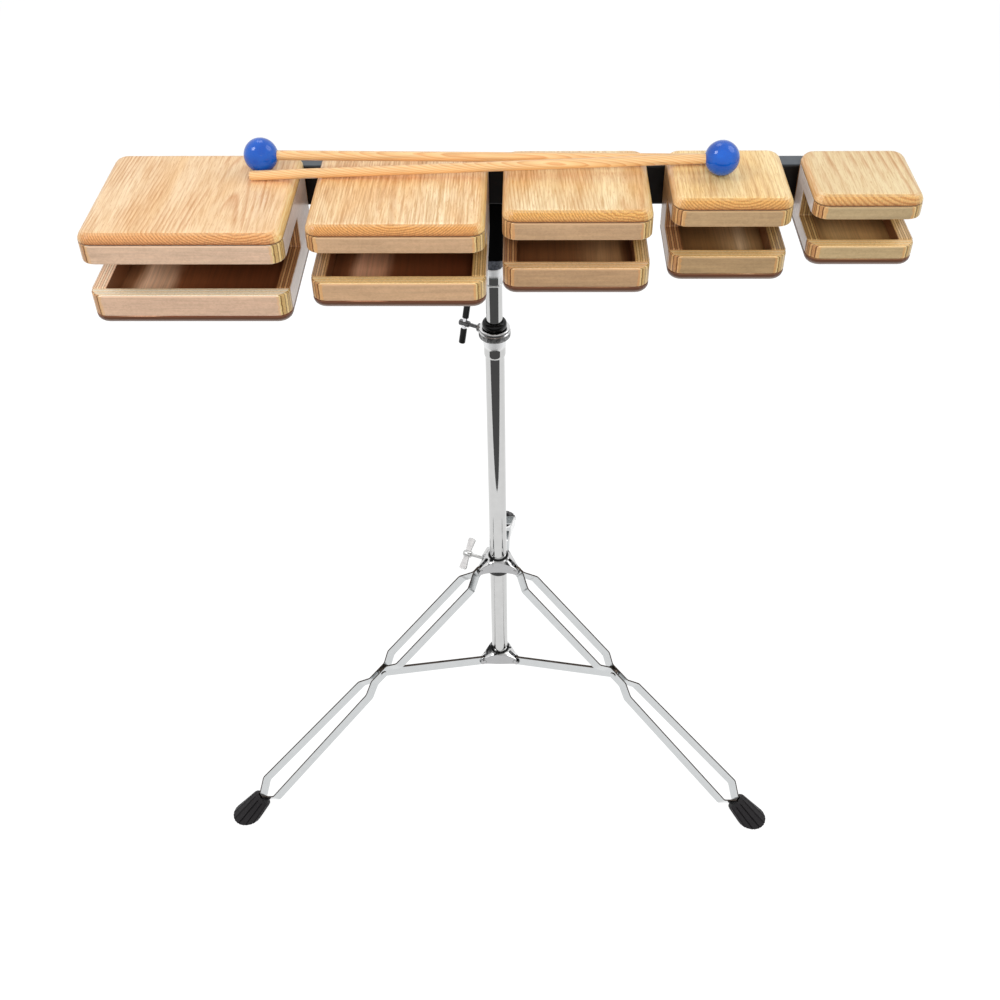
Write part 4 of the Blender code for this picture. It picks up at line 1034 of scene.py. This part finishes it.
def add_floor():
    """White to the camera and in reflections, with the object's soft shadow, and plain pale to the light."""
    floor = plane("floor", *FLOOR, 0)
    material = bare_material("floor_white")
    tree = material.node_tree
    shown = source(tree, "ShaderNodeBsdfDiffuse", "Color", gray(FLOOR_SHADE))
    plain = source(tree, "ShaderNodeBsdfDiffuse", "Color", gray(FLOOR_BOUNCE))
    light = source(tree, "ShaderNodeEmission", "Strength", FLOOR_GLOW)
    seen = mixed(tree, FLOOR_LIT_SHARE, light, shown)
    surface = mixed(tree, any_view_ray(tree), plain, seen)
    tree.links.new(surface, tree.nodes["Material Output"].inputs["Surface"])
    floor.data.materials.append(material)


def add_card():
    """A dark card on the floor before the stand, seen only in polished metal."""
    card = plane("card", *CARD, CARD_HEIGHT)
    material = bare_material("card_dark")
    tree = material.node_tree
    surface = source(tree, "ShaderNodeEmission", "Color", gray(CARD_SHADE))
    tree.links.new(surface, tree.nodes["Material Output"].inputs["Surface"])
    card.data.materials.append(material)
    card.visible_camera = False
    card.visible_diffuse = False
    card.visible_shadow = False
    card.visible_transmission = False
    card.visible_volume_scatter = False


def add_lamp(name, place, size, power, mirrored):
    light = bpy.data.lights.new(name, "AREA")
    light.shape = "DISK"
    light.size = size
    light.energy = power
    lamp = bpy.data.objects.new(name, light)
    lamp.location = place
    lamp.rotation_euler = (Vector(LAMP_TARGET) - Vector(place)).to_track_quat("-Z", "Y").to_euler()
    lamp.visible_glossy = mirrored
    bpy.context.scene.collection.objects.link(lamp)


def add_world():
    world = bpy.data.worlds.new("studio")
    world.use_nodes = True
    tree = world.node_tree
    lit = tree.nodes["Background"]
    lit.inputs["Color"].default_value = gray(1.0)
    lit.inputs["Strength"].default_value = WORLD_LIGHT
    white = source(tree, "ShaderNodeBackground", "Color", gray(1.0))
    surface = mixed(tree, any_view_ray(tree), lit.outputs[0], white)
    tree.links.new(surface, tree.nodes["World Output"].inputs["Surface"])
    bpy.context.scene.world = world


def add_camera():
    camera = bpy.data.cameras.new("camera")
    camera.sensor_width = SENSOR
    camera.lens = CAMERA_LENS
    camera.clip_end = 50
    seat = bpy.data.objects.new("camera", camera)
    seat.matrix_world = (Matrix.Translation(CAMERA_PLACE)
                         @ Matrix.Rotation(math.radians(CAMERA_YAW), 4, "Z")
                         @ Matrix.Rotation(math.radians(90 - CAMERA_PITCH), 4, "X")
                         @ Matrix.Rotation(math.radians(CAMERA_ROLL), 4, "Z"))
    bpy.context.scene.collection.objects.link(seat)
    bpy.context.scene.camera = seat
    bpy.context.scene.view_settings.view_transform = "Standard"


add_floor()
add_card()
for lamp in LAMPS:
    add_lamp(*lamp)
add_world()
add_camera()
